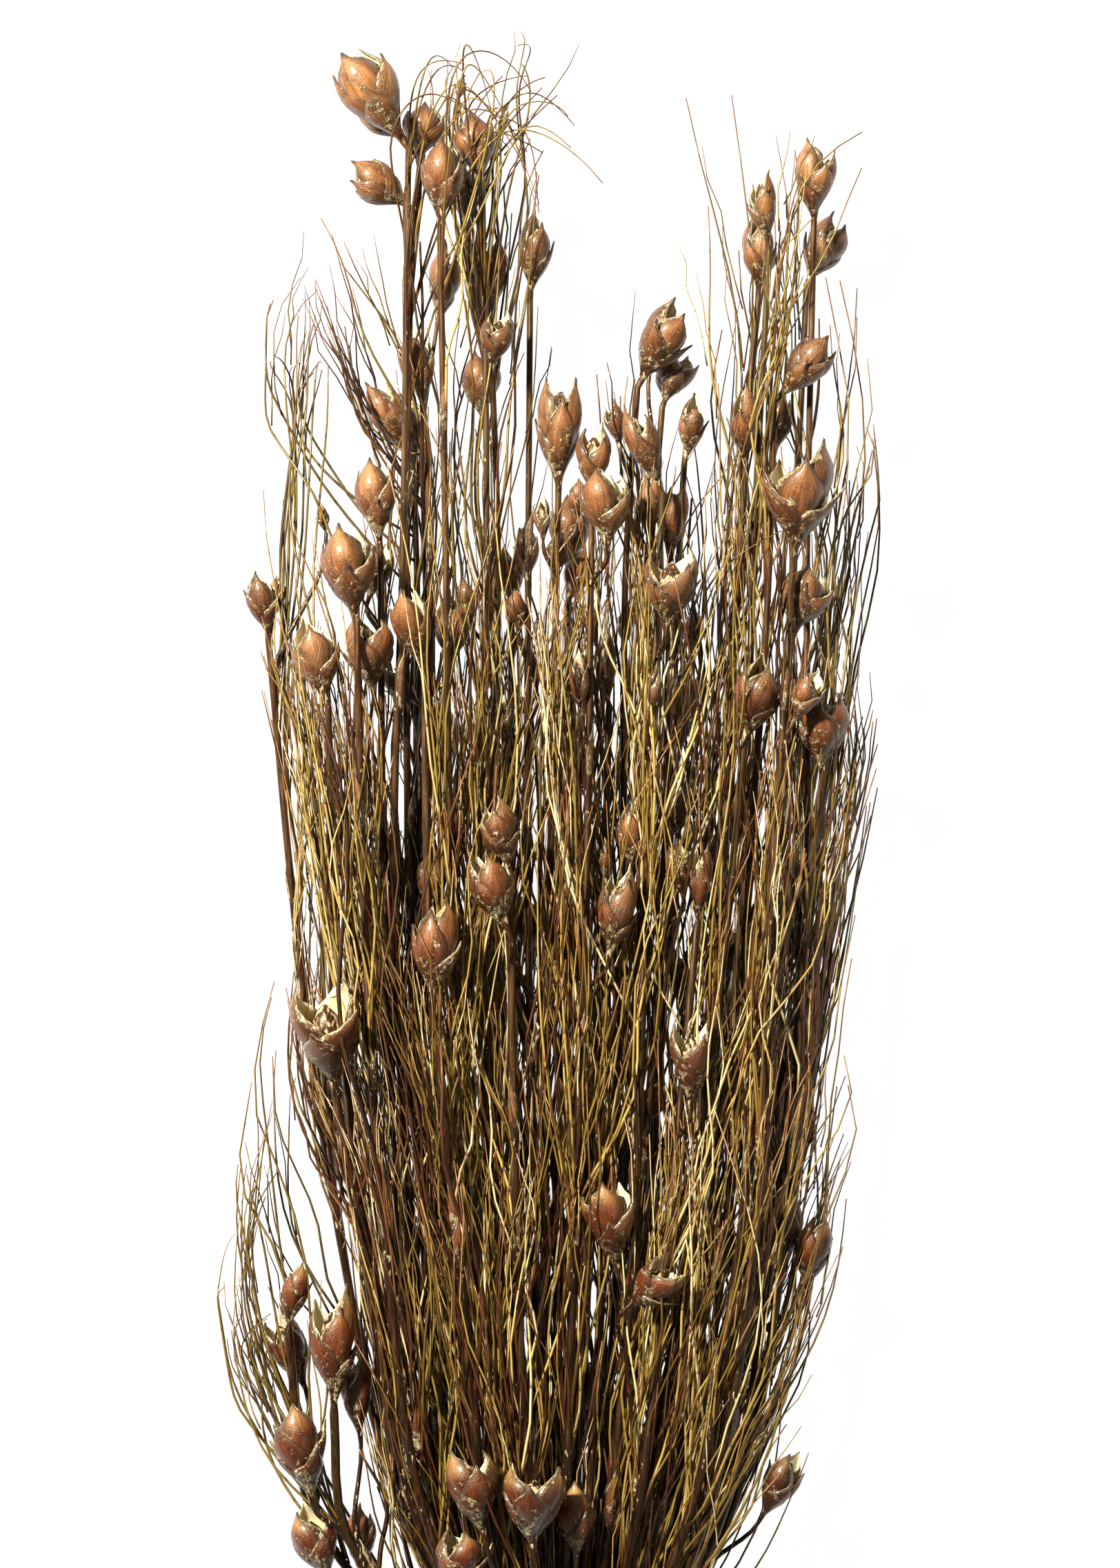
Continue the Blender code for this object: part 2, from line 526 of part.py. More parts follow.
    def place_thread(self, tuft, dice):
        root_x, root_y, mid_x, mid_y, tip_x, tip_y, spread, depth, _ = tuft
        foot_y = root_y + dice.uniform(-THREAD_FOOT_SPREAD, THREAD_FOOT_SPREAD)
        hint = depth_to_z(root_x, depth) + dice.gauss(0.0, 6.0)
        stems = [s for s in self.stems if s.points[-1][1] > foot_y + 12.0]
        stem = min(stems, key=lambda s: abs(s.at(foot_y)[0] - root_x) + 0.6 * abs(s.at(foot_y)[2] - hint)
                   + dice.uniform(0.0, 9.0))
        foot = stem.at(foot_y)
        middle = np.array([mid_x + dice.gauss(0.0, spread * 0.45), mid_y + dice.uniform(-9.0, 9.0),
                           0.5 * (foot[2] + hint) + dice.gauss(0.0, 4.0)])
        tip = np.array([tip_x + dice.gauss(0.0, spread * 0.8),
                        tip_y + dice.uniform(-1.0, 0.25) * spread * 2.2, hint + dice.gauss(0.0, 5.0)])
        middle[2] = min(max(middle[2], THREAD_LOWEST_Z), THREAD_HIGHEST_Z)
        tip[2] = min(max(tip[2], THREAD_LOWEST_Z), THREAD_HIGHEST_Z)
        bend = 2.0 * middle - 0.5 * (foot + tip)
        points = []
        for t in THREAD_CUTS:
            points.append((1 - t) ** 2 * foot + 2 * t * (1 - t) * bend + t * t * tip)
        rods = rods_of(points, [THREAD_RADIUS] * len(points))
        if not self.room.is_free(rods, stem.index):
            return False
        self.room.add(rods, stem.index)
        self.threads.append((stem.index, np.array(points)))
        return True


def ring(mesh, centre, way, radius, sides, turn=0.0):
    """Vertices of a polygon round a point, square to a direction."""
    way = Vector(way).normalized()
    side = way.cross(Vector((0.0, 0.0, 1.0)))
    if side.length < 0.05:
        side = Vector((1.0, 0.0, 0.0))
    side.normalize()
    up = side.cross(way)
    verts = []
    for k in range(sides):
        angle = math.tau * k / sides + turn
        place = Vector(centre) + (side * math.cos(angle) + up * math.sin(angle)) * radius
        verts.append(mesh.verts.new(place))
    return verts


def bridge(mesh, lower, upper):
    """Faces between two rings; the upper one may have as many or twice as many corners."""
    count = len(lower)
    if len(upper) == count:
        for k in range(count):
            n = (k + 1) % count
            mesh.faces.new((lower[k], lower[n], upper[n], upper[k]))
        return
    double = len(upper)
    for k in range(count):
        n = (k + 1) % count
        middle = upper[2 * k + 1]
        mesh.faces.new((lower[k], middle, upper[2 * k]))
        mesh.faces.new((lower[k], lower[n], middle))
        mesh.faces.new((lower[n], upper[(2 * k + 2) % double], middle))


def ways(points):
    """Direction of a row of points at each of them."""
    points = np.asarray(points)
    steps = np.diff(points, axis=0)
    steps = steps / np.linalg.norm(steps, axis=1)[:, None]
    middle = steps[:-1] + steps[1:]
    return np.vstack((steps[:1], middle, steps[-1:]))


def rod_mesh(points, radii, sides, turn=0.0):
    """Closed rod along a row of points."""
    mesh = bmesh.new()
    rings = [ring(mesh, p, w, r, sides, turn) for p, w, r in zip(points, ways(points), radii)]
    for lower, upper in zip(rings, rings[1:]):
        bridge(mesh, lower, upper)
    mesh.faces.new(list(reversed(rings[0])))
    mesh.faces.new(rings[-1])
    return mesh


def head_mesh(route, radii, head, sides, stalk_sides, turn):
    """Stalk or culm and head in one closed skin: funnel, belly and two crowns of pointed bracts."""
    tip, width, openness = head
    mesh = bmesh.new()
    base = np.asarray(route[-1])
    axis = np.asarray(tip) - base
    directions = ways(list(route) + [tip])
    rings = [ring(mesh, p, w, r, stalk_sides, turn) for p, w, r in zip(route, directions, radii)]
    along = Vector(axis).normalized()
    side = along.cross(Vector((0.0, 0.0, 1.0))).normalized()
    up = side.cross(along)
    for shares, radii_here, first_tip in head_rings(width, openness):
        verts = []
        for k in range(sides):
            between = int(k % 2 != first_tip)
            angle = math.tau * k / sides + turn
            place = Vector(base) + Vector(axis) * shares[between]
            place += (side * math.cos(angle) + up * math.sin(angle)) * radii_here[between]
            verts.append(mesh.verts.new(place))
        rings.append(verts)
    for lower, upper in zip(rings, rings[1:]):
        bridge(mesh, lower, upper)
    mesh.faces.new(list(reversed(rings[0])))
    heart = mesh.verts.new(Vector(base) + Vector(axis) * 0.72)
    for k in range(sides):
        mesh.faces.new((rings[-1][k], rings[-1][(k + 1) % sides], heart))
    return mesh


def to_object(name, mesh):
    """Object of a mesh in millimetres, moved to the part's origin and turned to metres."""
    for vert in mesh.verts:
        vert.co = Vector((vert.co.x - ORIGIN_X, vert.co.y - ORIGIN_Y, vert.co.z)) * MM
    bmesh.ops.recalc_face_normals(mesh, faces=mesh.faces)
    bmesh.ops.triangulate(mesh, faces=mesh.faces)
    data = bpy.data.meshes.new(name)
    mesh.to_mesh(data)
    mesh.free()
    made = bpy.data.objects.new(name, data)
    bpy.context.scene.collection.objects.link(made)
    return made


def fuse(body, pieces):
    """Joins the pieces to the body as one closed solid and removes them."""
    if not pieces:
        return
    group = bpy.data.collections.new(body.name + "_pieces")
    bpy.context.scene.collection.children.link(group)
    for piece in pieces:
        bpy.context.scene.collection.objects.unlink(piece)
        group.objects.link(piece)
    union = body.modifiers.new("union", "BOOLEAN")
    union.operation = "UNION"
    union.operand_type = "COLLECTION"
    union.solver = "MANIFOLD"
    union.collection = group
    joined = bpy.data.meshes.new_from_object(body.evaluated_get(bpy.context.evaluated_depsgraph_get()))
    body.modifiers.clear()
    old = body.data
    body.data = joined
    bpy.data.meshes.remove(old)
    for piece in list(group.objects):
        data = piece.data
        bpy.data.objects.remove(piece)
        bpy.data.meshes.remove(data)
    bpy.data.collections.remove(group)


def trim_below_surface(body):
    """Flat spots where the lowest heads lie on the surface."""
    if min(vert.co.z for vert in body.data.vertices) >= 0.0:
        return
    mesh = bmesh.new()
    mesh.from_mesh(body.data)
    cut = bmesh.ops.bisect_plane(mesh, geom=mesh.verts[:] + mesh.edges[:] + mesh.faces[:],
                                 plane_co=(0.0, 0.0, 0.0), plane_no=(0.0, 0.0, -1.0), clear_outer=True)
    rim = [item for item in cut["geom_cut"] if isinstance(item, bmesh.types.BMEdge)]
    bmesh.ops.holes_fill(mesh, edges=rim, sides=0)
    bmesh.ops.recalc_face_normals(mesh, faces=mesh.faces)
    mesh.to_mesh(body.data)
    mesh.free()


def material(name, colour, roughness):
    made = bpy.data.materials.new(name)
    made.use_nodes = True
    shader = made.node_tree.nodes["Principled BSDF"]
    shader.inputs["Base Color"].default_value = (*colour, 1.0)
    shader.inputs["Roughness"].default_value = roughness
    shader.inputs["Metallic"].default_value = 0.0
    return made


def make_stem(bunch, stem, finish):
    """One stem with everything that grows on it, fused."""
    rows = stem.outline()
    culm = head_mesh([row[0] for row in rows], [row[1] for row in rows], stem.head, HEAD_SIDES, HEAD_SIDES,
                     stem.phase)
    body = to_object("stem_%02d" % (stem.index + 1), culm)
    pieces = []
    for number, (index, route, tip, width, openness) in enumerate(bunch.heads):
        if index == stem.index:
            turn = random.Random(SEED + number).uniform(0.0, math.tau)
            sides = SLIM_HEAD_SIDES if width < SLIM_HEAD else HEAD_SIDES
            stalk_sides = SLIM_HEAD_SIDES if width < SLIM_HEAD else HEAD_SIDES // 2
            radii = [STALK_RADIUS] * len(route)
            skin = head_mesh(route, radii, (tip, width, openness), sides, stalk_sides, turn)
            pieces.append(to_object("head", skin))
    for index, points in bunch.threads:
        if index == stem.index:
            radii = [THREAD_RADIUS] * len(points)
            pieces.append(to_object("thread", rod_mesh(points, radii, THREAD_SIDES)))
    fuse(body, pieces)
    trim_below_surface(body)
    body.data.materials.clear()
    body.data.materials.append(finish)
    for face in body.data.polygons:
        face.use_smooth = False
    return body


def make_tie(finish):
    """Twine wound side by side round the stems; its lowest facet lies on the surface."""
    mesh = bmesh.new()
    half = TIE_WIDTH / 2.0
    profile = [(-half, TIE_INNER), (half, TIE_INNER)]
    for turn in range(TIE_TURNS, 0, -1):
        right = -half + TIE_WIDTH * turn / TIE_TURNS
        left = right - TIE_WIDTH / TIE_TURNS
        if turn == TIE_TURNS:
            profile.append((right, TIE_INNER + TIE_DEPTH * TIE_GROOVE))
        profile.append((0.5 * (left + right), TIE_INNER + TIE_DEPTH))
        profile.append((left, TIE_INNER + TIE_DEPTH * TIE_GROOVE))
    turns = []
    for k in range(TIE_SIDES):
        angle = math.tau * (k + 0.5) / TIE_SIDES
        row = []
        for y, radius in profile:
            reach = radius / math.cos(math.pi / TIE_SIDES)
            row.append(mesh.verts.new((reach * math.cos(angle), TIE_Y + y, TIE_Z + reach * math.sin(angle))))
        turns.append(row)
    for k in range(TIE_SIDES):
        here, there = turns[k], turns[(k + 1) % TIE_SIDES]
        for j in range(len(profile)):
            n = (j + 1) % len(profile)
            mesh.faces.new((here[j], here[n], there[n], there[j]))
    body = to_object("tie", mesh)
    body.data.materials.append(finish)
    return body


def main():
    for old in list(bpy.data.objects):
        bpy.data.objects.remove(old)
    reed = material("dried_reed", (0.15, 0.075, 0.04), 0.5)
    twine = material("twine", (0.45, 0.33, 0.18), 0.85)
    bunch = Bunch()
    for stem in bunch.stems:
        make_stem(bunch, stem, reed)
    make_tie(twine)


main()
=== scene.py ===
"""The looks of a bunch of dried bell reed, tied near its cut ends and lying on its side.

The same rules as the part's place every culm, head and branchlet. On them stand smooth culms with
sheathed joints, heads of overlapping bracts, the full mass of wiry branchlets, and the twine tie.
"""
import logging
import math
import random
from dataclasses import dataclass, field
from enum import Enum

import bmesh
import bpy
import numpy as np
from bpy.types import ID, Material, Mesh, Node, NodeSocket, NodeTree, Object
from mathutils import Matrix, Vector


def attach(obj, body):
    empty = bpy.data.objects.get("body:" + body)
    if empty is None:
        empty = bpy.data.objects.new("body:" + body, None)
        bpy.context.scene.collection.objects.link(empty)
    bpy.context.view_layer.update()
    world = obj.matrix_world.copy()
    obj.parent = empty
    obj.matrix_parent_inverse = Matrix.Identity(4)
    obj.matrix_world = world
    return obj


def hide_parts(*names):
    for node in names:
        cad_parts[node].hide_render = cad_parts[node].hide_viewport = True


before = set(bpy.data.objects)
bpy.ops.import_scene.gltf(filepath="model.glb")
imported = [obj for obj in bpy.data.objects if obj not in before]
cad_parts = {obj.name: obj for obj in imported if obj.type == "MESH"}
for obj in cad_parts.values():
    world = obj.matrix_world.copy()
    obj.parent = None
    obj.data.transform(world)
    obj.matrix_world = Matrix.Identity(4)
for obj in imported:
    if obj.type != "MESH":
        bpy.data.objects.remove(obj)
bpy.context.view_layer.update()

logging.basicConfig(level=logging.INFO, format="%(message)s")
LOG = logging.getLogger("bell_reed")

# Sizes of the layout, in millimetres. Y is counted from the cut ends, X from the middle of the bunch.
MM = 0.001
SEED = 41
TIE_Y = 70.0
TIE_WIDTH = 15.0
TIE_TURNS = 4
TIE_DEPTH = 3.0
FAN_START_Y = 90.0
SHOULDER_Y = 200.0
BUNCH_MIDDLE_Z = 43.0
SHOULDER_MIDDLE_Z = 36.0
BUNCH_HALF_DEPTH = 37.0
BUNCH_HALF_WIDTH = 116.0
SHOULDER_LEFT = -58.0
SHOULDER_RIGHT = 62.0
SHOULDER_DEPTH_SHARE = 0.72
CULM_BUTT_RADIUS = 1.85
CULM_TOP_RADIUS = 1.15
SHEATH_SWELL = 1.4
SHEATH_LENGTH = 14.0
SHEATH_REACH = 32.0
STALK_RADIUS = 1.0
THREAD_RADIUS = 0.52
CLEARANCE = 0.25
TIE_GAP = 0.55
STATIONS = (0.0, 62.0, 90.0, 140.0, 200.0, 310.0, 430.0, 560.0)
BUTT_FLARE = 0.16
CULM_WAVER = 1.4
WAVER_ONSET = 150.0
WAVER_LENGTH_X = 31.0
WAVER_LENGTH_Z = 37.0
CULM_TAPER_END_Y = 560.0
TOP_INSET = 4.0
TOP_MARGIN = 22.0
TOP_TILTS = (0.0, 5.0, -5.0, 11.0, -11.0)
TOP_STEPS = 32
TOP_STEP = 2.2
STALK_REACHES = (12.0, 18.0, 28.0, 40.0, 55.0, 75.0)
STALK_TOP_MARGIN = 14.0
STALK_LOWEST_FOOT_Y = 100.0
STALK_SLANT = 0.9
HEIGHT_STEP = 2.5
HEIGHT_STEPS = 14
OFF_COST, REACH_COST, HEIGHT_COST = 1.5, 0.25, 0.9
CULM_LOWEST_Z = 3.0
SHORTEST_RUN = 30.0
FAN_SLOPE_SHARE, TOP_SLOPE_SHARE = 0.55, 0.45
LEAVE_SLOPE_SHARE, ARRIVE_SLOPE_SHARE = 0.3, 0.8
SHEATH_TOP_MARGIN = 60.0
SHEATH_LIP = 1.5
HEAD_CUTS = (0.0, 0.22, 0.42, 0.62, 0.86, 1.0)
STALK_CUTS = (0.0, 0.5, 1.0)
STALK_FINE_CUTS = (0.0, 0.17, 0.34, 0.5, 0.67, 0.84, 1.0)
STALK_AIM = 6.0
WAY_AHEAD, WAY_BACK = 8.0, 2.0
STALK_LEAVE, STALK_ARRIVE = 0.8, 0.9
STALK_LOWEST_Z = 1.2
STALK_OVERLAP = -0.8
CELL_REACH = 6
CELL_SHIFT_X, CELL_SHIFT_Z = 0.3, 0.7
THREAD_TRIES = 60
THREAD_TOP_MARGIN = 12.0
THREAD_HEIGHT_COST = 0.6
THREAD_LOWEST_Z = 3.0
THREAD_HIGHEST_Z = 86.0
THREAD_FOOT_SPREAD = 14.0
THREAD_CUTS = (0.0, 0.34, 0.68, 1.0)
ORIGIN_X = -6.7
ORIGIN_Y = 368.0

# Heads that end a stem: tip X, tip Y, base X, base Y, width, how far open (0 to 1), depth
# (0.3 on the underside, 0.9 on top).
TOP_HEADS = (
    (-80, 735, -56, 702, 18, 0.3, 0.8), (-77, 693, -55, 681, 13, 0.2, 0.7),
    (-42, 702, -44, 673, 13.5, 0.2, 0.85), (-33, 712, -28, 690, 13.5, 0.2, 0.7),
    (-8, 677, -11, 649, 10.5, 0.2, 0.6), (-23, 668, -24, 640, 11, 0.1, 0.6),
    (-54, 638, -50, 608, 11.5, 0.2, 0.6), (-70, 616, -55, 591, 12, 0.2, 0.5),
    (-68, 587, -65, 558, 12.5, 0.2, 0.7), (-1, 621, -2, 577, 14, 0.3, 0.6),
    (-111, 548, -107, 525, 10, 0.2, 0.5), (-79, 562, -74, 530, 16, 0.5, 0.9),
    (-93, 530, -85, 501, 14, 0.5, 0.8), (-58, 541, -50, 512, 12, 0.3, 0.7),
    (43, 643, 27, 617, 14, 0.6, 0.6), (44, 628, 37, 610, 11.5, 0.6, 0.6),
    (49, 611, 44, 590, 9, 0.3, 0.5), (14, 600, 13, 576, 11.5, 0.2, 0.7),
    (26, 606, 38, 578, 11, 0.2, 0.7), (43, 581, 41, 552, 9.5, 0.2, 0.6),
    (94, 703, 93, 675, 12.5, 0.5, 0.6), (102, 676, 90, 655, 13, 0.3, 0.4),
    (72, 693, 76, 666, 9, 0.3, 0.6), (71, 677, 71, 650, 11, 0.1, 0.5),
    (100, 631, 79, 611, 12, 0.5, 0.7), (68, 613, 69, 587, 10, 0.1, 0.5),
    (88, 593, 84, 553, 19, 0.7, 0.9), (92, 548, 83, 525, 15, 0.5, 0.8),
    (76, 515, 68, 487, 15, 0.2, 0.7), (96, 505, 95, 476, 16, 0.2, 0.8),
    (-19, 557, -18, 536, 10, 0.1, 0.5), (11, 555, 4, 538, 9, 0.1, 0.5),
    (17, 526, 19, 500, 7.5, 0.1, 0.6), (-25, 465, -18, 441, 12, 0.2, 0.8),
    (26, 463, 26, 440, 9, 0.1, 0.6), (51, 450, 49, 421, 8, 0.1, 0.7),
    (-43, 430, -45, 393, 15, 0.2, 0.9), (-85, 398, -80, 361, 19, 1.0, 0.8),
    (87, 388, 83, 366, 10, 0.3, 0.5), (-83, 288, -82, 246, 14, 0.6, 0.8),
    (-95, 297, -99, 275, 9, 0.1, 0.6),
)

# Places across the shoulder of the two stems on the left that stand apart, by their row above.
SHOULDERS = {39: -78.0, 40: -88.0}

# Heads on side stalks, in the same order.
SIDE_HEADS = (
    (-74, 718, -55, 701, 10, 0.1, 0.6), (-48, 716, -51, 693, 13, 0.3, 0.5),
    (-35, 725, -37, 716, 3.6, 0.0, 0.5), (-34, 695, -34, 668, 10, 0.1, 0.5),
    (-40, 666, -45, 635, 11, 0.1, 0.3), (-21, 641, -25, 617, 11, 0.2, 0.7),
    (-29, 626, -28, 601, 12.5, 0.3, 0.4), (-7, 575, -6, 555, 5.5, 0.1, 0.8),
    (-87, 571, -85, 560, 4.5, 0.0, 0.5), (-102, 546, -105, 527, 6, 0.1, 0.5),
    (-63, 558, -70, 534, 10, 0.2, 0.6), (-70, 531, -67, 501, 15, 0.4, 0.9),
    (-39, 538, -39, 511, 12, 0.1, 0.6), (-65, 511, -50, 497, 8, 0.1, 0.7),
    (-34, 545, -32, 527, 8, 0.1, 0.4), (38, 641, 33, 621, 9, 0.3, 0.4),
    (18, 609, 22, 590, 7, 0.1, 0.5), (6, 581, 6, 563, 7, 0.1, 0.6),
    (16, 585, 17, 552, 15.5, 0.3, 0.9), (33, 586, 32, 555, 9, 0.1, 0.7),
    (41, 555, 38, 523, 15, 0.7, 0.8), (1, 561, -3, 543, 8, 0.1, 0.4),
    (-13, 565, -11, 542, 8, 0.1, 0.4), (-17, 541, -15, 523, 7, 0.1, 0.6),
    (-10, 518, -8, 501, 4.5, 0.0, 0.5), (-21, 501, -19, 483, 6, 0.1, 0.6),
    (77, 668, 74, 651, 6, 0.1, 0.3), (82, 613, 78, 588, 9, 0.1, 0.4),
    (93, 510, 83, 490, 9, 0.4, 0.7), (24, 535, 23, 517, 6, 0.1, 0.5),
    (49, 533, 48, 516, 8, 0.1, 0.4), (6, 518, 8, 492, 6.5, 0.1, 0.7),
    (36, 513, 31, 491, 5.5, 0.1, 0.7), (-30, 447, -18, 415, 14, 0.2, 0.85),
    (23, 441, 17, 404, 12.5, 0.1, 0.8), (14, 451, 17, 431, 6, 0.4, 0.7),
    (46, 468, 39, 447, 9, 0.1, 0.5), (41, 450, 45, 426, 9, 0.1, 0.6),
    (59, 452, 56, 436, 8, 0.1, 0.5), (-47, 443, -48, 423, 9, 0.3, 0.6),
    (-58, 445, -53, 416, 9, 0.3, 0.5), (28, 421, 23, 402, 9, 0.4, 0.6),
    (-7, 387, -7, 358, 7, 0.1, 0.7), (47, 386, 47, 351, 12, 0.6, 0.8),
    (37, 363, 29, 343, 9, 0.1, 0.6), (23, 350, 22, 331, 8, 0.4, 0.6),
    (79, 396, 78, 378, 7, 0.1, 0.3), (16, 328, 21, 292, 14, 0.9, 0.9),
    (43, 298, 23, 280, 12, 0.9, 0.85), (62, 313, 59, 288, 11, 0.5, 0.6),
    (84, 320, 82, 293, 9, 0.1, 0.5), (94, 315, 89, 283, 11.5, 0.2, 0.6),
    (39, 278, 43, 258, 7, 0.6, 0.7), (-105, 278, -92, 248, 12.5, 0.3, 0.7),
    (-75, 266, -72, 230, 11, 0.2, 0.6), (-98, 248, -89, 208, 15, 0.5, 0.8),
    (-93, 208, -83, 178, 14, 0.3, 0.8), (-72, 208, -73, 181, 10, 0.2, 0.6),
    (-30, 231, -23, 198, 15, 0.5, 0.8), (-9, 226, -10, 193, 17, 0.8, 0.9),
    (1, 217, 2, 188, 12, 0.2, 0.85), (-30, 201, -24, 176, 15, 0.5, 0.8),
    (58, 252, 61, 223, 10.5, 0.3, 0.6), (57, 226, 49, 201, 12, 0.2, 0.5),
    (87, 228, 72, 201, 11.5, 0.2, 0.6), (44, 410, 43, 388, 10, 0.1, 0.5),
    (-83, 468, -83, 450, 4.5, 0.0, 0.6),
)

# Heads on the hidden underside. The first ones reach the surface that the bunch lies on.
UNDER_HEADS = (
    (-46, 500, -42, 470, 14, 0.2, 0.0), (48, 512, 44, 482, 14, 0.2, 0.0),
    (-36, 322, -32, 292, 13, 0.2, 0.0), (38, 318, 34, 288, 13, 0.2, 0.0),
    (4, 574, 3, 545, 13, 0.2, 0.35), (-12, 432, -10, 404, 13, 0.3, 0.3),
    (66, 420, 60, 392, 12, 0.2, 0.32), (-66, 408, -60, 380, 12, 0.2, 0.32),
    (12, 262, 10, 236, 12, 0.3, 0.3), (-58, 612, -52, 586, 12, 0.2, 0.32),
)
SHOULDER_NUDGES = ((0.0, 0.0), (1.6, 3.0), (-1.6, -3.0), (-4.0, 2.0), (3.0, -6.0))
RESTING_HEADS = 4
SIDE_HEAD_TRIES = 500
HEAD_NUDGES = (0.0, 4.0, -4.0, 8.0, -8.0)
RESTING_SINK = 0.6

# Tufts of barren branchlets: root X, root Y, middle X, middle Y, tip X, tip Y, spread at the tips,
# depth, and how many of them the part has too.
TUFTS = (
    (-48, 578, -63, 622, -84, 676, 9, 0.6, 3), (-28, 628, -30, 690, -12, 728, 14, 0.55, 2),
    (-93, 528, -102, 603, -104, 650, 3, 0.5, 2), (-86, 553, -91, 591, -89, 623, 5, 0.5, 2),
    (-43, 378, -40, 503, -43, 594, 8, 0.85, 3), (-28, 378, -28, 503, -30, 604, 8, 0.7, 1),
    (-1, 403, 0, 503, -3, 578, 8, 0.8, 2), (29, 428, 29, 528, 23, 598, 9, 0.7, 2),
    (69, 528, 67, 603, 62, 721, 2, 0.6, 2), (74, 553, 80, 653, 94, 706, 4, 0.6, 2),
    (72, 553, 80, 628, 117, 696, 3, 0.7, 1), (80, 378, 97, 528, 100, 653, 4, 0.6, 2),
    (82, 378, 107, 528, 113, 603, 5, 0.5, 2), (77, 353, 102, 441, 112, 498, 7, 0.6, 2),
    (72, 328, 95, 391, 109, 466, 6, 0.4, 2), (60, 203, 85, 278, 97, 366, 9, 0.6, 2),
    (47, 203, 67, 278, 80, 378, 10, 0.85, 2), (22, 203, 37, 278, 60, 378, 11, 0.8, 2),
    (-83, 190, -103, 303, -105, 396, 4, 0.6, 2), (-85, 253, -95, 316, -103, 378, 4, 0.5, 2),
    (-93, 228, -110, 291, -117, 333, 4, 0.6, 2), (-90, 203, -120, 258, -135, 286, 4, 0.6, 2),
    (-86, 191, -108, 241, -115, 278, 4, 0.7, 2), (-78, 403, -93, 478, -104, 528, 6, 0.6, 2),
    (-68, 378, -78, 453, -83, 503, 6, 0.5, 2), (-58, 353, -63, 428, -65, 483, 7, 0.6, 1),
    (-63, 253, -63, 328, -80, 363, 5, 0.6, 2), (-43, 190, -43, 253, -53, 303, 7, 0.7, 1),
    (-13, 193, -18, 278, -13, 378, 8, 0.8, 2), (2, 203, 4, 328, 0, 428, 8, 0.7, 2),
    (12, 303, 17, 403, 22, 491, 8, 0.8, 2), (60, 378, 62, 478, 62, 578, 8, 0.85, 2),
    (45, 428, 50, 503, 57, 578, 8, 0.7, 1), (-13, 378, -18, 453, -6, 541, 8, 0.6, 2),
    (-28, 528, -23, 603, -16, 691, 6, 0.7, 2), (12, 428, 5, 503, 14, 563, 8, 0.6, 2),
    (-40, 278, -33, 378, -23, 478, 8, 0.8, 2), (20, 250, 24, 340, 30, 430, 10, 0.32, 2),
    (-20, 250, -24, 340, -30, 430, 10, 0.32, 2), (50, 260, 58, 350, 66, 440, 10, 0.34, 2),
    (-50, 260, -58, 350, -66, 450, 10, 0.34, 2), (10, 400, 12, 480, 14, 560, 9, 0.32, 2),
    (-40, 400, -44, 480, -48, 560, 9, 0.32, 2), (50, 420, 56, 500, 60, 570, 9, 0.34, 2),
)


Rods = tuple[np.ndarray, np.ndarray, np.ndarray]
Value = float | np.ndarray


class Draw(Enum):
    """What a row of random numbers is drawn for; the value keeps the rows apart."""

    STALK_TONE = 55
    CULM_TONE = 77
    WAVER = 100
    JOINTS = 500
    SHEATHS = 900
    PART_THREADS = 1000
    TUFTS = 3000
    WHORLS = 4000
    FORKS = 5000
    THREAD_WAVER = 6000
    BRACTS = 7000
    BRANCHES = 8000
    CURLS = 9000


def dice_for(draw: Draw, number: int = 0) -> random.Random:
    """Random numbers that are always the same for one purpose and one piece's own number."""
    return random.Random(SEED * draw.value + number)


def unit(value: float) -> float:
    """Keeps a value between 0 and 1."""
    return min(1.0, max(0.0, value))


@dataclass
class Room:
    """Keeps the round-ended rods that stand for what is placed, with the stem each belongs to."""

    start: np.ndarray = field(default_factory=lambda: np.zeros((0, 3)))
    end: np.ndarray = field(default_factory=lambda: np.zeros((0, 3)))
    radius: np.ndarray = field(default_factory=lambda: np.zeros(0))
    owner: np.ndarray = field(default_factory=lambda: np.zeros(0, dtype=int))

    def add(self, rods: Rods, owner: int) -> None:
        """Takes rods in for one stem.

        Args:
            rods: Starts, ends and radii.
            owner: Number of the stem that they belong to.
        """
        start, end, radius = rods
        self.start = np.vstack((self.start, start))
        self.end = np.vstack((self.end, end))
        self.radius = np.concatenate((self.radius, radius))
        self.owner = np.concatenate((self.owner, np.full(len(radius), owner)))

    def is_free(self, rods: Rods, owner: int, own_gap: float | None = None) -> bool:
        """Tells whether rods stay clear of every other stem, and of the same stem by own_gap.

        Args:
            rods: Starts, ends and radii.
            owner: Number of the stem that they belong to.
            own_gap: Least gap to the same stem, or None where that stem doesn't matter.

        Returns:
            True where nothing is in the way.
        """
        start, end, radius = rods
        low = np.minimum(start, end).min(0) - radius.max() - CLEARANCE
        high = np.maximum(start, end).max(0) + radius.max() + CLEARANCE
        reach = self.radius[:, None]
        near = (np.maximum(self.start, self.end) + reach > low).all(1)
        near &= (np.minimum(self.start, self.end) - reach < high).all(1)
        if own_gap is None:
            near &= self.owner != owner
        if not near.any():
            return True
        gap = rod_gaps(rods, (self.start[near], self.end[near], self.radius[near]))
        own = self.owner[near] == owner
        limit = np.where(own, own_gap if own_gap is not None else 0.0, CLEARANCE)
        return bool((gap > limit[None]).all())


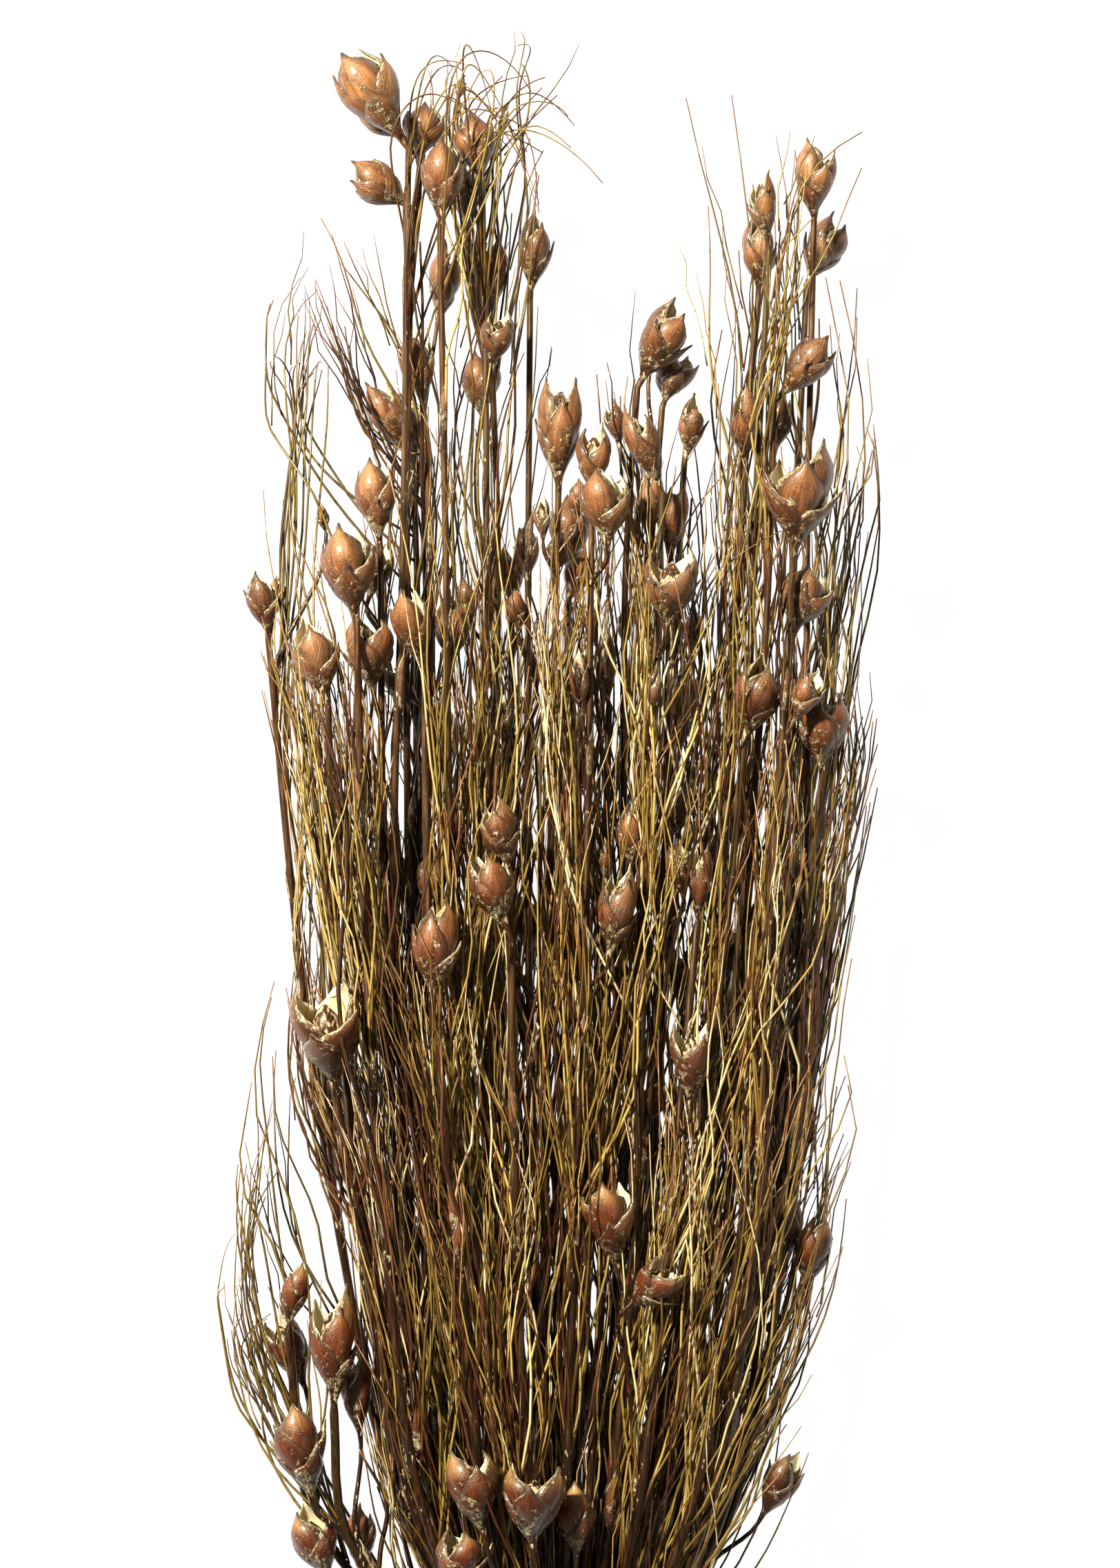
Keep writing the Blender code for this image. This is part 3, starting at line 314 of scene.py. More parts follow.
def rod_gaps(rods_a: Rods, rods_b: Rods) -> np.ndarray:
    """Measures the clear distance between every rod of one set and every rod of the other.

    Args:
        rods_a: First set.
        rods_b: Second set.

    Returns:
        Gaps, a row for each rod of the first set.
    """
    start_a, end_a, radius_a = rods_a
    start_b, end_b, radius_b = rods_b
    along_a = (end_a - start_a)[:, None]
    along_b = (end_b - start_b)[None]
    between = start_a[:, None] - start_b[None]
    aa = np.maximum((along_a * along_a).sum(-1), 1e-9)
    bb = np.maximum((along_b * along_b).sum(-1), 1e-9)
    ab = (along_a * along_b).sum(-1)
    ac = (along_a * between).sum(-1)
    bc = (along_b * between).sum(-1)
    spread = aa * bb - ab * ab
    s = np.where(spread > 1e-9, (ab * bc - ac * bb) / np.maximum(spread, 1e-9), 0.0)
    s = np.clip(s, 0.0, 1.0)
    t = np.clip((ab * s + bc) / bb, 0.0, 1.0)
    s = np.clip((ab * t - ac) / aa, 0.0, 1.0)
    nearest = between + along_a * s[..., None] - along_b * t[..., None]
    return np.linalg.norm(nearest, axis=-1) - radius_a[:, None] - radius_b[None]


def rods_of(points: np.ndarray, radii: list[float]) -> Rods:
    """Makes rods along a row of points, each with the larger radius of its two ends."""
    points, sizes = np.asarray(points, dtype=float), np.asarray(radii, dtype=float)
    return points[:-1], points[1:], np.maximum(sizes[:-1], sizes[1:])


def hermite(t: Value, start: Value, start_slope: Value, end: Value, end_slope: Value,
            length: Value) -> Value:
    """Blends smoothly between two values whose slopes are per millimetre of length.

    Args:
        t: Place between them, from 0 to 1.
        start: Value at 0.
        start_slope: Slope at 0.
        end: Value at 1.
        end_slope: Slope at 1.
        length: Distance between them.

    Returns:
        The value at t.
    """
    t2 = t * t
    t3 = t2 * t
    blend = (2 * t3 - 3 * t2 + 1) * start + (3 * t2 - 2 * t3) * end
    return blend + ((t3 - 2 * t2 + t) * start_slope + (t3 - t2) * end_slope) * length


def depth_to_z(x: float, depth: float) -> float:
    """Finds a height in the bunch, whose cross-section is a flattened round.

    Args:
        x: Place across the bunch.
        depth: 0.3 in the middle layer of the underside, 0.9 on top.

    Returns:
        Height above the surface that the bunch lies on.
    """
    share = (depth - 0.3) / 0.3 - 1.0
    narrowing = math.sqrt(max(0.2, 1.0 - (x / BUNCH_HALF_WIDTH) ** 2))
    return BUNCH_MIDDLE_Z + share * BUNCH_HALF_DEPTH * narrowing


def tie_slots(count: int) -> list[tuple[int, float, float]]:
    """Places the stems in the tie, packed like cells of a honeycomb.

    Args:
        count: Number of stems.

    Returns:
        Column, height and place across of each, sorted.
    """
    pitch = 2.0 * CULM_BUTT_RADIUS + TIE_GAP
    row = pitch * math.sqrt(3.0) / 2.0
    cells = []
    for column in range(-CELL_REACH, CELL_REACH + 1):
        for step in range(-CELL_REACH, CELL_REACH + 1):
            x = column * row
            z = (step + 0.5 * (column % 2)) * pitch
            cells.append((math.hypot(x - CELL_SHIFT_X, z - CELL_SHIFT_Z), column, x, z))
    cells.sort()
    return sorted((column, z, x) for _, column, x, z in cells[:count])


def bundle_radius() -> float:
    """Radius round the outermost stems in the tie, measured from the tie's middle."""
    slots = tie_slots(len(TOP_HEADS))
    return max(math.hypot(x, z) for _, z, x in slots) + CULM_BUTT_RADIUS


TIE_INNER = bundle_radius() + CLEARANCE
TIE_Z = TIE_INNER + TIE_DEPTH


@dataclass
class Head:
    """A flower head with the stalk that carries it."""

    stem: int
    route: list[np.ndarray]
    base: np.ndarray
    tip: np.ndarray
    width: float
    openness: float


@dataclass
class Branchlet:
    """A wiry barren branchlet, bent once between its foot and its tip."""

    stem: int
    foot: np.ndarray
    bend: np.ndarray
    tip: np.ndarray
    radius: float
    tone: float

    def at(self, t: np.ndarray) -> np.ndarray:
        """Points of the branchlet at places from 0 at the foot to 1 at the tip, a row for each."""
        s = t[:, None]
        return (1 - s) ** 2 * self.foot + 2 * s * (1 - s) * self.bend + s * s * self.tip

    def cut(self, t: float) -> None:
        """Shortens the branchlet to its first part, whose line stays as it is.

        Args:
            t: Share of the line that stays.
        """
        tip = self.at(np.array([t]))[0]
        self.bend = self.foot + (self.bend - self.foot) * t
        self.tip = tip


@dataclass
class Stem:
    """One culm: a smooth route from the butt through the tie and the shoulder to its top."""

    index: int
    row: tuple
    slot_x: float
    slot_z: float
    shoulder_x: float
    shoulder_z: float
    phase: float = 0.0
    joint_share: float = 0.0
    sheath_y: float = 0.0
    points: np.ndarray = field(default_factory=lambda: np.zeros((0, 3)))
    tip: np.ndarray = field(default_factory=lambda: np.zeros(3))

    def __post_init__(self) -> None:
        """Draws the stem's own waver and the place of its sheathed joint."""
        dice = dice_for(Draw.WAVER, self.index)
        self.phase = dice.uniform(0.0, math.tau)
        self.joint_share = dice.uniform(0.25, 0.6)
        self.points = self.route(0.0, self.phase)

    @property
    def node(self) -> str:
        """Name of the stem's node in the part."""
        return "stem_%02d" % (self.index + 1)

    @property
    def top(self) -> tuple[float, float]:
        """Place of the culm's top across and along the bunch."""
        return float(self.row[2]), float(self.row[3])

    def route(self, shift: float, phase: float) -> np.ndarray:
        """Finds the points of the culm.

        Args:
            shift: How far the top is raised.
            phase: Where the waver begins.

        Returns:
            A row of points from the butt to the top.
        """
        top_x, top_y = self.top
        top_z = depth_to_z(top_x, self.row[6]) + shift
        ys = [y for y in STATIONS if y < top_y - TOP_MARGIN] + [top_y - TOP_INSET]
        rise = SHOULDER_Y - FAN_START_Y
        run = max(top_y - SHOULDER_Y, SHORTEST_RUN)
        points = []
        for y in ys:
            if y <= FAN_START_Y:
                grow = 1.0 + BUTT_FLARE * max(0.0, 1.0 - y / TIE_Y) ** 1.5
                points.append((self.slot_x * grow, y, TIE_Z + self.slot_z * grow))
                continue
            row = []
            for start, shoulder, top in ((self.slot_x, self.shoulder_x, top_x),
                                         (TIE_Z + self.slot_z, self.shoulder_z, top_z)):
                top_slope = (top - shoulder) / run
                slope = FAN_SLOPE_SHARE * (shoulder - start) / rise + TOP_SLOPE_SHARE * top_slope
                if y <= SHOULDER_Y:
                    t = (y - FAN_START_Y) / rise
                    leave = LEAVE_SLOPE_SHARE * (shoulder - start) / rise
                    row.append(hermite(t, start, leave, shoulder, slope, rise))
                else:
                    t = (y - SHOULDER_Y) / run
                    row.append(hermite(t, shoulder, slope, top, ARRIVE_SLOPE_SHARE * top_slope, run))
            waver = CULM_WAVER * unit((y - SHOULDER_Y) / WAVER_ONSET)
            points.append((row[0] + waver * math.sin(y / WAVER_LENGTH_X + phase), y,
                           row[1] + waver * math.cos(y / WAVER_LENGTH_Z + phase)))
        return np.array(points)

    def radius_at(self, y: float) -> float:
        """Radius of the culm at a distance from the butts."""
        share = unit((y - TIE_Y) / (CULM_TAPER_END_Y - TIE_Y))
        return CULM_BUTT_RADIUS + (CULM_TOP_RADIUS - CULM_BUTT_RADIUS) * share

    def settle(self, points: np.ndarray) -> None:
        """Takes the route as placed and puts a sheathed joint on it.

        Args:
            points: The culm's points.
        """
        self.points = points
        top_y = points[-1][1]
        self.sheath_y = min(SHOULDER_Y + self.joint_share * (top_y - SHOULDER_Y),
                            top_y - SHEATH_TOP_MARGIN)

    def at(self, y: float) -> np.ndarray:
        """Middle of the culm at a distance from the butts."""
        return np.array([np.interp(y, self.points[:, 1], self.points[:, k]) for k in range(3)])

    def way(self, y: float) -> np.ndarray:
        """Direction of the culm at a joint."""
        return self.at(y + WAY_AHEAD) - self.at(y - WAY_BACK)

    def rods(self) -> Rods:
        """Makes rods that hold the culm with its sheath.

        Returns:
            Starts, ends and radii.
        """
        foot = self.sheath_y
        lip = foot + SHEATH_LENGTH
        thick = self.radius_at(foot) * SHEATH_SWELL
        rows = [(tuple(p), self.radius_at(p[1])) for p in self.points]
        clear = [row for row in rows[3:-1] if not foot - SHEATH_REACH < row[0][1] < lip + SHEATH_REACH]
        rows = rows[:3] + clear + rows[-1:]
        rows.append((tuple(self.at(foot)), thick))
        rows.append((tuple(self.at(lip)), thick))
        rows.append((tuple(self.at(lip + SHEATH_LIP)), self.radius_at(lip)))
        rows.sort(key=lambda row: row[0][1])
        return rods_of([row[0] for row in rows], [row[1] for row in rows])


def head_rods(base: np.ndarray, tip: np.ndarray, width: float, openness: float) -> Rods:
    """Makes rods that hold a whole head.

    Args:
        base: Where the head begins.
        tip: Where it ends.
        width: Its width.
        openness: How far it is open, from 0 to 1.

    Returns:
        Starts, ends and radii.
    """
    base = np.asarray(base)
    along = np.asarray(tip) - base
    belly = width / 2.0
    flare = 1.0 + 0.55 * openness
    radii = (belly * 0.40, belly * 0.62, belly * 1.0, belly * max(1.0, 0.9 * flare),
             belly * (0.45 + 0.5 * openness))
    points = [base + along * cut for cut in HEAD_CUTS]
    return np.array(points[:-1]), np.array(points[1:]), np.array(radii)


def stalk_route(start: np.ndarray, start_way: np.ndarray, end: np.ndarray, end_way: np.ndarray,
                cuts: tuple) -> np.ndarray:
    """Finds the points of a stalk that leaves a culm and bends into the head's own line.

    Args:
        start: Foot on the culm.
        start_way: Direction there.
        end: Base of the head.
        end_way: Direction there.
        cuts: Places along the stalk, from 0 to 1.

    Returns:
        A row of points.
    """
    length = float(np.linalg.norm(end - start))
    points = []
    for t in cuts:
        points.append([hermite(t, start[k], start_way[k], end[k], end_way[k], length) for k in range(3)])
    return np.array(points)


@dataclass
class Bunch:
    """Places the stems, heads and branchlets so that no stem touches another."""

    room: Room = field(default_factory=Room)
    stems: list[Stem] = field(default_factory=list)
    heads: list[Head] = field(default_factory=list)
    threads: list[Branchlet] = field(default_factory=list)

    def grow(self) -> None:
        """Places everything in the part's own order."""
        self.place_stems()
        self.place_side_heads()
        self.place_tufts()

    def place_stems(self) -> None:
        """Gives every stem its cell in the tie and its place across the shoulder."""
        slots = tie_slots(len(TOP_HEADS))
        free = [i for i in range(len(TOP_HEADS)) if i not in SHOULDERS]
        shoulders = dict(SHOULDERS)
        for rank, i in enumerate(sorted(free, key=lambda i: TOP_HEADS[i][2])):
            share = (rank + 0.5) / len(free)
            shoulders[i] = SHOULDER_LEFT + (SHOULDER_RIGHT - SHOULDER_LEFT) * share
        order = sorted(range(len(TOP_HEADS)), key=lambda i: shoulders[i])
        columns = {}
        for column, z, x in slots:
            columns.setdefault(column, []).append((z, x))
        cursor = 0
        for column in sorted(columns):
            cells = sorted(columns[column])
            members = order[cursor:cursor + len(cells)]
            cursor += len(cells)
            members.sort(key=lambda i: TOP_HEADS[i][6] + 0.001 * i)
            for rank, ((z, x), i) in enumerate(zip(cells, members)):
                depth = 0.3 + 0.6 * (rank + 0.5) / len(cells)
                shoulder_z = depth_to_z(shoulders[i], depth) - BUNCH_MIDDLE_Z
                shoulder_z = SHOULDER_MIDDLE_Z + shoulder_z * SHOULDER_DEPTH_SHARE
                self.stems.append(Stem(i, TOP_HEADS[i], x, z, shoulders[i], shoulder_z))
        for stem in sorted(self.stems, key=lambda s: -s.top[1]):
            if not self.place_stem(stem):
                LOG.info("no room for stem %d", stem.index)
        self.stems.sort(key=lambda s: s.index)

    def place_stem(self, stem: Stem) -> bool:
        """Tries heights of the top, starting points of the waver and tilts of the top head.

        Args:
            stem: The stem to place.

        Returns:
            True where it found room.
        """
        row = stem.row
        lean = np.array([row[0] - row[2], row[1] - row[3] + TOP_INSET, 0.0])
        home_x, home_z = stem.shoulder_x, stem.shoulder_z
        for step in range(TOP_STEPS * len(SHOULDER_NUDGES)):
            shift = (step % TOP_STEPS + 1) // 2 * TOP_STEP * (-1 if step % 2 else 1)
            aside, raised = SHOULDER_NUDGES[step // TOP_STEPS]
            stem.shoulder_x = home_x + aside
            stem.shoulder_z = home_z + raised
            for turn in range(4):
                points = stem.route(shift, stem.phase + turn * math.tau / 4)
                stem.settle(points)
                rods = stem.rods()
                if rods[1][:, 2].min() < CULM_LOWEST_Z or not self.room.is_free(rods, stem.index):
                    continue
                for tilt in TOP_TILTS:
                    tip = points[-1] + lean + np.array([0.0, 0.0, tilt])
                    head = head_rods(points[-1], tip, row[4], row[5])
                    if tip[2] < row[4] / 2 or not self.room.is_free(head, stem.index):
                        continue
                    self.room.add(rods, stem.index)
                    self.room.add(head, stem.index)
                    stem.tip = tip
                    return True
        return False

    def place_side_heads(self) -> None:
        """Places the heads on side stalks, the resting and the widest ones first."""
        rows = [row + (False,) for row in SIDE_HEADS]
        rows += [row + (i < RESTING_HEADS,) for i, row in enumerate(UNDER_HEADS)]
        rows.sort(key=lambda row: (not row[7], -row[4]))
        for row in rows:
            if not any(self.place_side_head(row, aside) for aside in HEAD_NUDGES):
                LOG.info("no room for side head %s", row)

    def place_side_head(self, row: tuple, aside: float) -> bool:
        """Finds the height and the culm that give a head the shortest free stalk.

        Args:
            row: The head's place, size and depth.
            aside: How far it is moved across the bunch.

        Returns:
            True where it found room.
        """
        tip_x, tip_y, base_x, base_y, width, openness, depth, resting = row
        tip_x += aside
        base_x += aside
        if resting:
            hint = width / 2.0 * 0.9 - RESTING_SINK
            heights = (hint,)
        else:
            hint = depth_to_z(base_x, depth)
            heights = [hint + k * HEIGHT_STEP * side for k in range(HEIGHT_STEPS) for side in (1, -1)]
            heights = [z for z in heights if width / 2.0 + RESTING_SINK < z < 2.0 * BUNCH_MIDDLE_Z]
        lean = np.array([tip_x - base_x, tip_y - base_y, 0.0], dtype=float)
        tries = []
        for z in heights:
            base = np.array([base_x, base_y, z])
            for reach in STALK_REACHES:
                for stem in self.stems:
                    foot_y = base_y - reach
                    if foot_y > stem.points[-1][1] - STALK_TOP_MARGIN or foot_y < STALK_LOWEST_FOOT_Y:
                        continue
                    foot = stem.at(foot_y)
                    off = math.hypot(foot[0] - base[0], foot[2] - base[2])
                    if off > reach * STALK_SLANT + TOP_INSET:
                        continue
                    cost = off * OFF_COST + reach * REACH_COST + abs(z - hint) * HEIGHT_COST
                    tries.append((cost, stem.index, foot_y, z))
        tries.sort()
        for _, index, foot_y, z in tries[:SIDE_HEAD_TRIES]:
            stem = self.stems[index]
            base = np.array([base_x, base_y, z])
            tip = base + lean
            rods = head_rods(base, tip, width, openness)
            if not self.room.is_free(rods, index, STALK_OVERLAP):
                continue
            foot = stem.at(foot_y)
            leave = (stem.at(foot_y + STALK_AIM) - foot) / STALK_AIM * STALK_LEAVE
            arrive = lean / np.linalg.norm(lean) * STALK_ARRIVE
            route = stalk_route(foot, leave, base, arrive, STALK_CUTS)
            rods_stalk = rods_of(route, [STALK_RADIUS] * len(route))
            if rods_stalk[0][:, 2].min() < STALK_LOWEST_Z or not self.room.is_free(rods_stalk, index):
                continue
            self.room.add(rods, index)
            self.room.add(rods_stalk, index)
            smooth = stalk_route(foot, leave, base, arrive, STALK_FINE_CUTS)
            self.heads.append(Head(index, list(smooth), base, tip, width, openness))
            return True
        return False

    def nearest_stem(self, x: float, y: float, z: float, chance: float, dice: random.Random) -> Stem:
        """Finds a stem near a place, of those that reach past it.

        Args:
            x: Across the bunch.
            y: From the butts.
            z: Height.
            chance: How much farther off a stem may be and still be drawn.
            dice: Numbers that spread the choice.

        Returns:
            The stem.
        """
        stems = [stem for stem in self.stems if stem.points[-1][1] > y + THREAD_TOP_MARGIN]
        return min(stems, key=lambda s: abs(s.at(y)[0] - x) + THREAD_HEIGHT_COST * abs(s.at(y)[2] - z)
                   + dice.uniform(0.0, chance))

    def place_tufts(self) -> None:
        """Places the branchlets that the part has too."""
        for number, tuft in enumerate(TUFTS):
            dice = dice_for(Draw.PART_THREADS, number)
            for _ in range(tuft[8]):
                for _ in range(THREAD_TRIES):
                    if self.place_thread(tuft, dice):
                        break
                else:
                    LOG.info("no room for a branchlet of tuft %d", number)

    def place_thread(self, tuft: tuple, dice: random.Random) -> bool:
        """Draws one branchlet of a tuft and keeps it where it is free.

        Args:
            tuft: The tuft's root, middle, tip, spread, depth and number.
            dice: The tuft's own numbers.

        Returns:
            True where it found room.
        """
        root_x, root_y, mid_x, mid_y, tip_x, tip_y, spread, depth, _ = tuft
        foot_y = root_y + dice.uniform(-THREAD_FOOT_SPREAD, THREAD_FOOT_SPREAD)
        hint = depth_to_z(root_x, depth) + dice.gauss(0.0, 6.0)
        stem = self.nearest_stem(root_x, foot_y, hint, 9.0, dice)
        foot = stem.at(foot_y)
        middle = np.array([mid_x + dice.gauss(0.0, spread * 0.45), mid_y + dice.uniform(-9.0, 9.0),
                           0.5 * (foot[2] + hint) + dice.gauss(0.0, 4.0)])
        tip = np.array([tip_x + dice.gauss(0.0, spread * 0.8),
                        tip_y + dice.uniform(-1.0, 0.25) * spread * 2.2, hint + dice.gauss(0.0, 5.0)])
        middle[2] = min(max(middle[2], THREAD_LOWEST_Z), THREAD_HIGHEST_Z)
        tip[2] = min(max(tip[2], THREAD_LOWEST_Z), THREAD_HIGHEST_Z)
        made = Branchlet(stem.index, foot, 2.0 * middle - 0.5 * (foot + tip), tip, THREAD_RADIUS, 0.5)
        rods = rods_of(made.at(np.array(THREAD_CUTS)), [THREAD_RADIUS] * len(THREAD_CUTS))
        if not self.room.is_free(rods, stem.index):
            return False
        self.room.add(rods, stem.index)
        self.threads.append(made)
        return True


class Slot(Enum):
    """Material slots of the record."""

    CULM = "culm"
    BRACT = "bract"
    THREAD = "thread"
    TWINE = "twine"


class Blend(Enum):
    """How a coat of colour goes over what is under it."""

    COVER = "MIX"
    STAIN = "MULTIPLY"


# Sockets of a colour mix: what lies under, what goes over it, and the result.
MIX_A, MIX_B, MIX_OUT = 6, 7, 2
# Y in metres above which nothing is painted for the lower bunch, and below which its painted shade and the
# lobes' golden points are full.
LOWER_BUNCH_TOP_Y, LOWER_BUNCH_FULL_Y = 0.34, -0.10


def linear(code: str) -> tuple[float, float, float, float]:
    """Turns an sRGB hex colour into the linear one that the shaders take.

    Args:
        code: Six hex digits.

    Returns:
        Red, green, blue and full alpha.
    """
    values = []
    for k in range(0, 6, 2):
        share = int(code[k:k + 2], 16) / 255.0
        values.append(share / 12.92 if share <= 0.04045 else ((share + 0.055) / 1.055) ** 2.4)
    return values[0], values[1], values[2], 1.0


def plug(tree: NodeTree, node: Node, inputs: dict | tuple) -> None:
    """Sets or links what goes into a node's sockets.

    Args:
        tree: Node tree of the node.
        node: The node.
        inputs: Sockets in order, or by name or number: each a plain value, the output linked to it,
            or the node whose first output is meant.
    """
    for key, value in inputs.items() if isinstance(inputs, dict) else enumerate(inputs):
        if isinstance(value, Node):
            value = value.outputs[0]
        if isinstance(value, NodeSocket):
            tree.links.new(value, node.inputs[key])
        else:
            node.inputs[key].default_value = value


def add_node(tree: NodeTree, kind: str, settings: dict | None = None,
             inputs: dict | tuple = ()) -> Node:
    """Adds a node, with its settings and what goes into its sockets.

    Args:
        tree: Node tree that takes it.
        kind: Blender's name of the node type, without its ShaderNode.
        settings: Its properties; "stops" gives a colour ramp's places and hex colours.
        inputs: What goes into its sockets, as plug takes it.

    Returns:
        The node.
    """
    node = tree.nodes.new("ShaderNode" + kind)
    for name, value in (settings or {}).items():
        if name != "stops":
            setattr(node, name, value)
            continue
        elements = node.color_ramp.elements
        while len(elements) < len(value):
            elements.new(0.5)
        for element, (place, code) in zip(elements, value):
            element.position = place
            element.color = linear(code)
    plug(tree, node, inputs)
    return node


def new_material(name: str) -> tuple[Material, NodeTree, Node]:
    """Makes an empty material.

    Args:
        name: Its name.

    Returns:
        The material, its tree and its shader.
    """
    made = bpy.data.materials.new(name)
    made.use_nodes = True
    return made, made.node_tree, made.node_tree.nodes["Principled BSDF"]


def marks_of(tree: NodeTree) -> list[NodeSocket]:
    """Sockets of the three marks that each point of a piece holds in its attribute "grain"."""
    grain = add_node(tree, "Attribute", {"attribute_name": "grain"})
    return list(add_node(tree, "SeparateXYZ", {}, (grain.outputs["Vector"],)).outputs)


def lay_coats(tree: NodeTree, ground: Node, coats: tuple) -> NodeSocket:
    """Lays coats of colour over a ground, one after another.

    Args:
        tree: The material's nodes.
        ground: The node with the ground colour.
        coats: For each coat how it blends, where it lies, and its hex colour or its node.

    Returns:
        The socket of the finished colour.
    """
    colour = ground.outputs[0]
    for blend, share, over in coats:
        coat = linear(over) if isinstance(over, str) else over
        mixed = add_node(tree, "Mix", {"data_type": "RGBA", "blend_type": blend.value},
                         {0: share, MIX_A: colour, MIX_B: coat})
        colour = mixed.outputs[MIX_OUT]
    return colour


def butt_share(tree: NodeTree, most: float) -> Node:
    """Tells a finish how near the butts it is, which weights the painted shade of the thick lower bunch
    and the golden points low in it.

    Args:
        tree: The material's nodes.
        most: Value in the lower third; it falls to 0 at the top.

    Returns:
        The node that gives the value.
    """
    place = add_node(tree, "TexCoord").outputs["Object"]
    parts = add_node(tree, "SeparateXYZ", {}, (place,))
    return add_node(tree, "MapRange", {}, (parts.outputs[1], LOWER_BUNCH_TOP_Y, LOWER_BUNCH_FULL_Y, 0.0, most))


@dataclass(frozen=True)
class BractFinish:
    """Dry bracts: waxy chestnut with fine veins, and a grey and silver crust where they overlap.

    Each tuple that ends in "range" gives where an effect begins and is full, and its values there.
    """

    name: str = "dry_bract"
    veins: tuple = ((0.22, "281409"), (0.42, "663716"), (0.60, "966034"), (0.82, "CCA470"))
    tones: tuple = ((0.0, "3E2213"), (0.35, "784824"), (0.62, "A06C3C"), (0.85, "A08660"), (1.0, "685844"))
    crust: tuple = ((0.38, "17110D"), (0.47, "4E3F30"), (0.54, "AE9762"), (0.64, "D8CCA8"))
    lining: tuple = ((0.15, "B58A3A"), (0.7, "E8D9AC"))
    weathered: str = "7A5238"
    butt_shade: str = "AC6418"
    crease_shade: str = "2B170D"
    foot: str = "644028"
    gilt_and_highlight: str = "B98C4C"
    sheen: str = "FFDFAE"
    tip: str = "24150E"
    veins_across: float = 5.0
    veins_shift: float = 60.0
    tone_share: float = 0.45
    butt_shade_most: float = 0.9
    wrinkles: tuple = (2.6, 5.0, 1.0)
    patch_share: float = 0.6
    crust_dullness: float = 0.25
    speckle_height: float = 0.7
    weather_range: tuple = (0.48, 0.74, 0.0, 0.8)
    foot_range: tuple = (0.55, 0.20, 0.0, 0.85)
    gilt_and_highlight_range: tuple = (0.66, 0.98, 0.0, 0.7)
    crease_shade_range: tuple = (0.25, 0.90, 0.0, 0.9)
    tip_range: tuple = (0.86, 0.97, 0.0, 0.9)
    rim_range: tuple = (0.66, 0.96, 0.0, 0.34)
    low_crust_range: tuple = (0.62, 0.25, 0.0, 0.15)
    crust_range: tuple = (0.94, 1.03, 0.0, 1.0)
    gloss_range: tuple = (0.3, 0.75, 0.34, 0.50)

    def make(self) -> Material:
        """Builds the material.

        Returns:
            The material of the bracts and of the sheaths at the joints.
        """
        made, tree, shader = new_material(self.name)
        across, along, tone = marks_of(tree)
        inner = add_node(tree, "Attribute", {"attribute_name": "inner"}).outputs["Fac"]
        height_on_head = add_node(tree, "Attribute", {"attribute_name": "share"}).outputs["Fac"]
        place = add_node(tree, "TexCoord").outputs["Object"]
        # Fine veins run from foot to tip, so the pattern is stretched along the bract.
        wide = add_node(tree, "Math", {"operation": "MULTIPLY"}, (across, self.veins_across))
        apart = add_node(tree, "Math", {"operation": "MULTIPLY"}, (tone, self.veins_shift))
        vein_at = add_node(tree, "CombineXYZ", {}, (wide, along, apart))
        veins = add_node(tree, "TexNoise", {}, {"Vector": vein_at, "Scale": 2.2, "Detail": 4.0,
                                                          "Roughness": 0.55})
        veined = add_node(tree, "ValToRGB", {"stops": self.veins}, (veins,))
        toned = add_node(tree, "ValToRGB", {"stops": self.tones}, (tone,))
        # Broad weathering, a few millimetres across, darkens patches.
        patches = add_node(tree, "TexNoise", {}, {"Vector": place, "Scale": 190.0, "Detail": 4.0})
        weather = add_node(tree, "MapRange", {}, (patches, *self.weather_range))
        # The foot of a head is darker than its lobes.
        lower = add_node(tree, "MapRange", {}, (height_on_head, *self.foot_range))
        # Low in the bunch the lobes turn golden towards the point: partly their own colour, partly painted
        # highlight.
        upper = add_node(tree, "MapRange", {}, (height_on_head, *self.gilt_and_highlight_range))
        gilt_and_highlight_share = add_node(tree, "Math", {"operation": "MULTIPLY"}, (upper, butt_share(tree, 1.0)))
        # Painted shade: each lobe is lightest along its middle and nearly black in the creases beside it,
        # where shade falls.
        side = add_node(tree, "Math", {"operation": "ABSOLUTE"}, (across,))
        crease_shade = add_node(tree, "MapRange", {"interpolation_type": "SMOOTHSTEP"},
                          (side, *self.crease_shade_range))
        # The stiff point is nearly black.
        point = add_node(tree, "MapRange", {}, (along, *self.tip_range))
        # Crust: where one bract leaves another, and along its edge, old skin flakes in silver and black.
        flakes = add_node(tree, "TexNoise", {}, {"Vector": place, "Scale": 520.0, "Detail": 5.0,
                                                           "Roughness": 0.65})
        rim = add_node(tree, "MapRange", {}, (side, *self.rim_range))
        low = add_node(tree, "MapRange", {}, (height_on_head, *self.low_crust_range))
        bias = add_node(tree, "Math", {"operation": "MAXIMUM"}, (rim, low))
        worn = add_node(tree, "Math", {"operation": "MULTIPLY_ADD"},
                        (patches, self.patch_share, bias))
        worn = add_node(tree, "Math", {"operation": "ADD"}, (worn, flakes))
        crust = add_node(tree, "MapRange", {}, (worn, *self.crust_range))
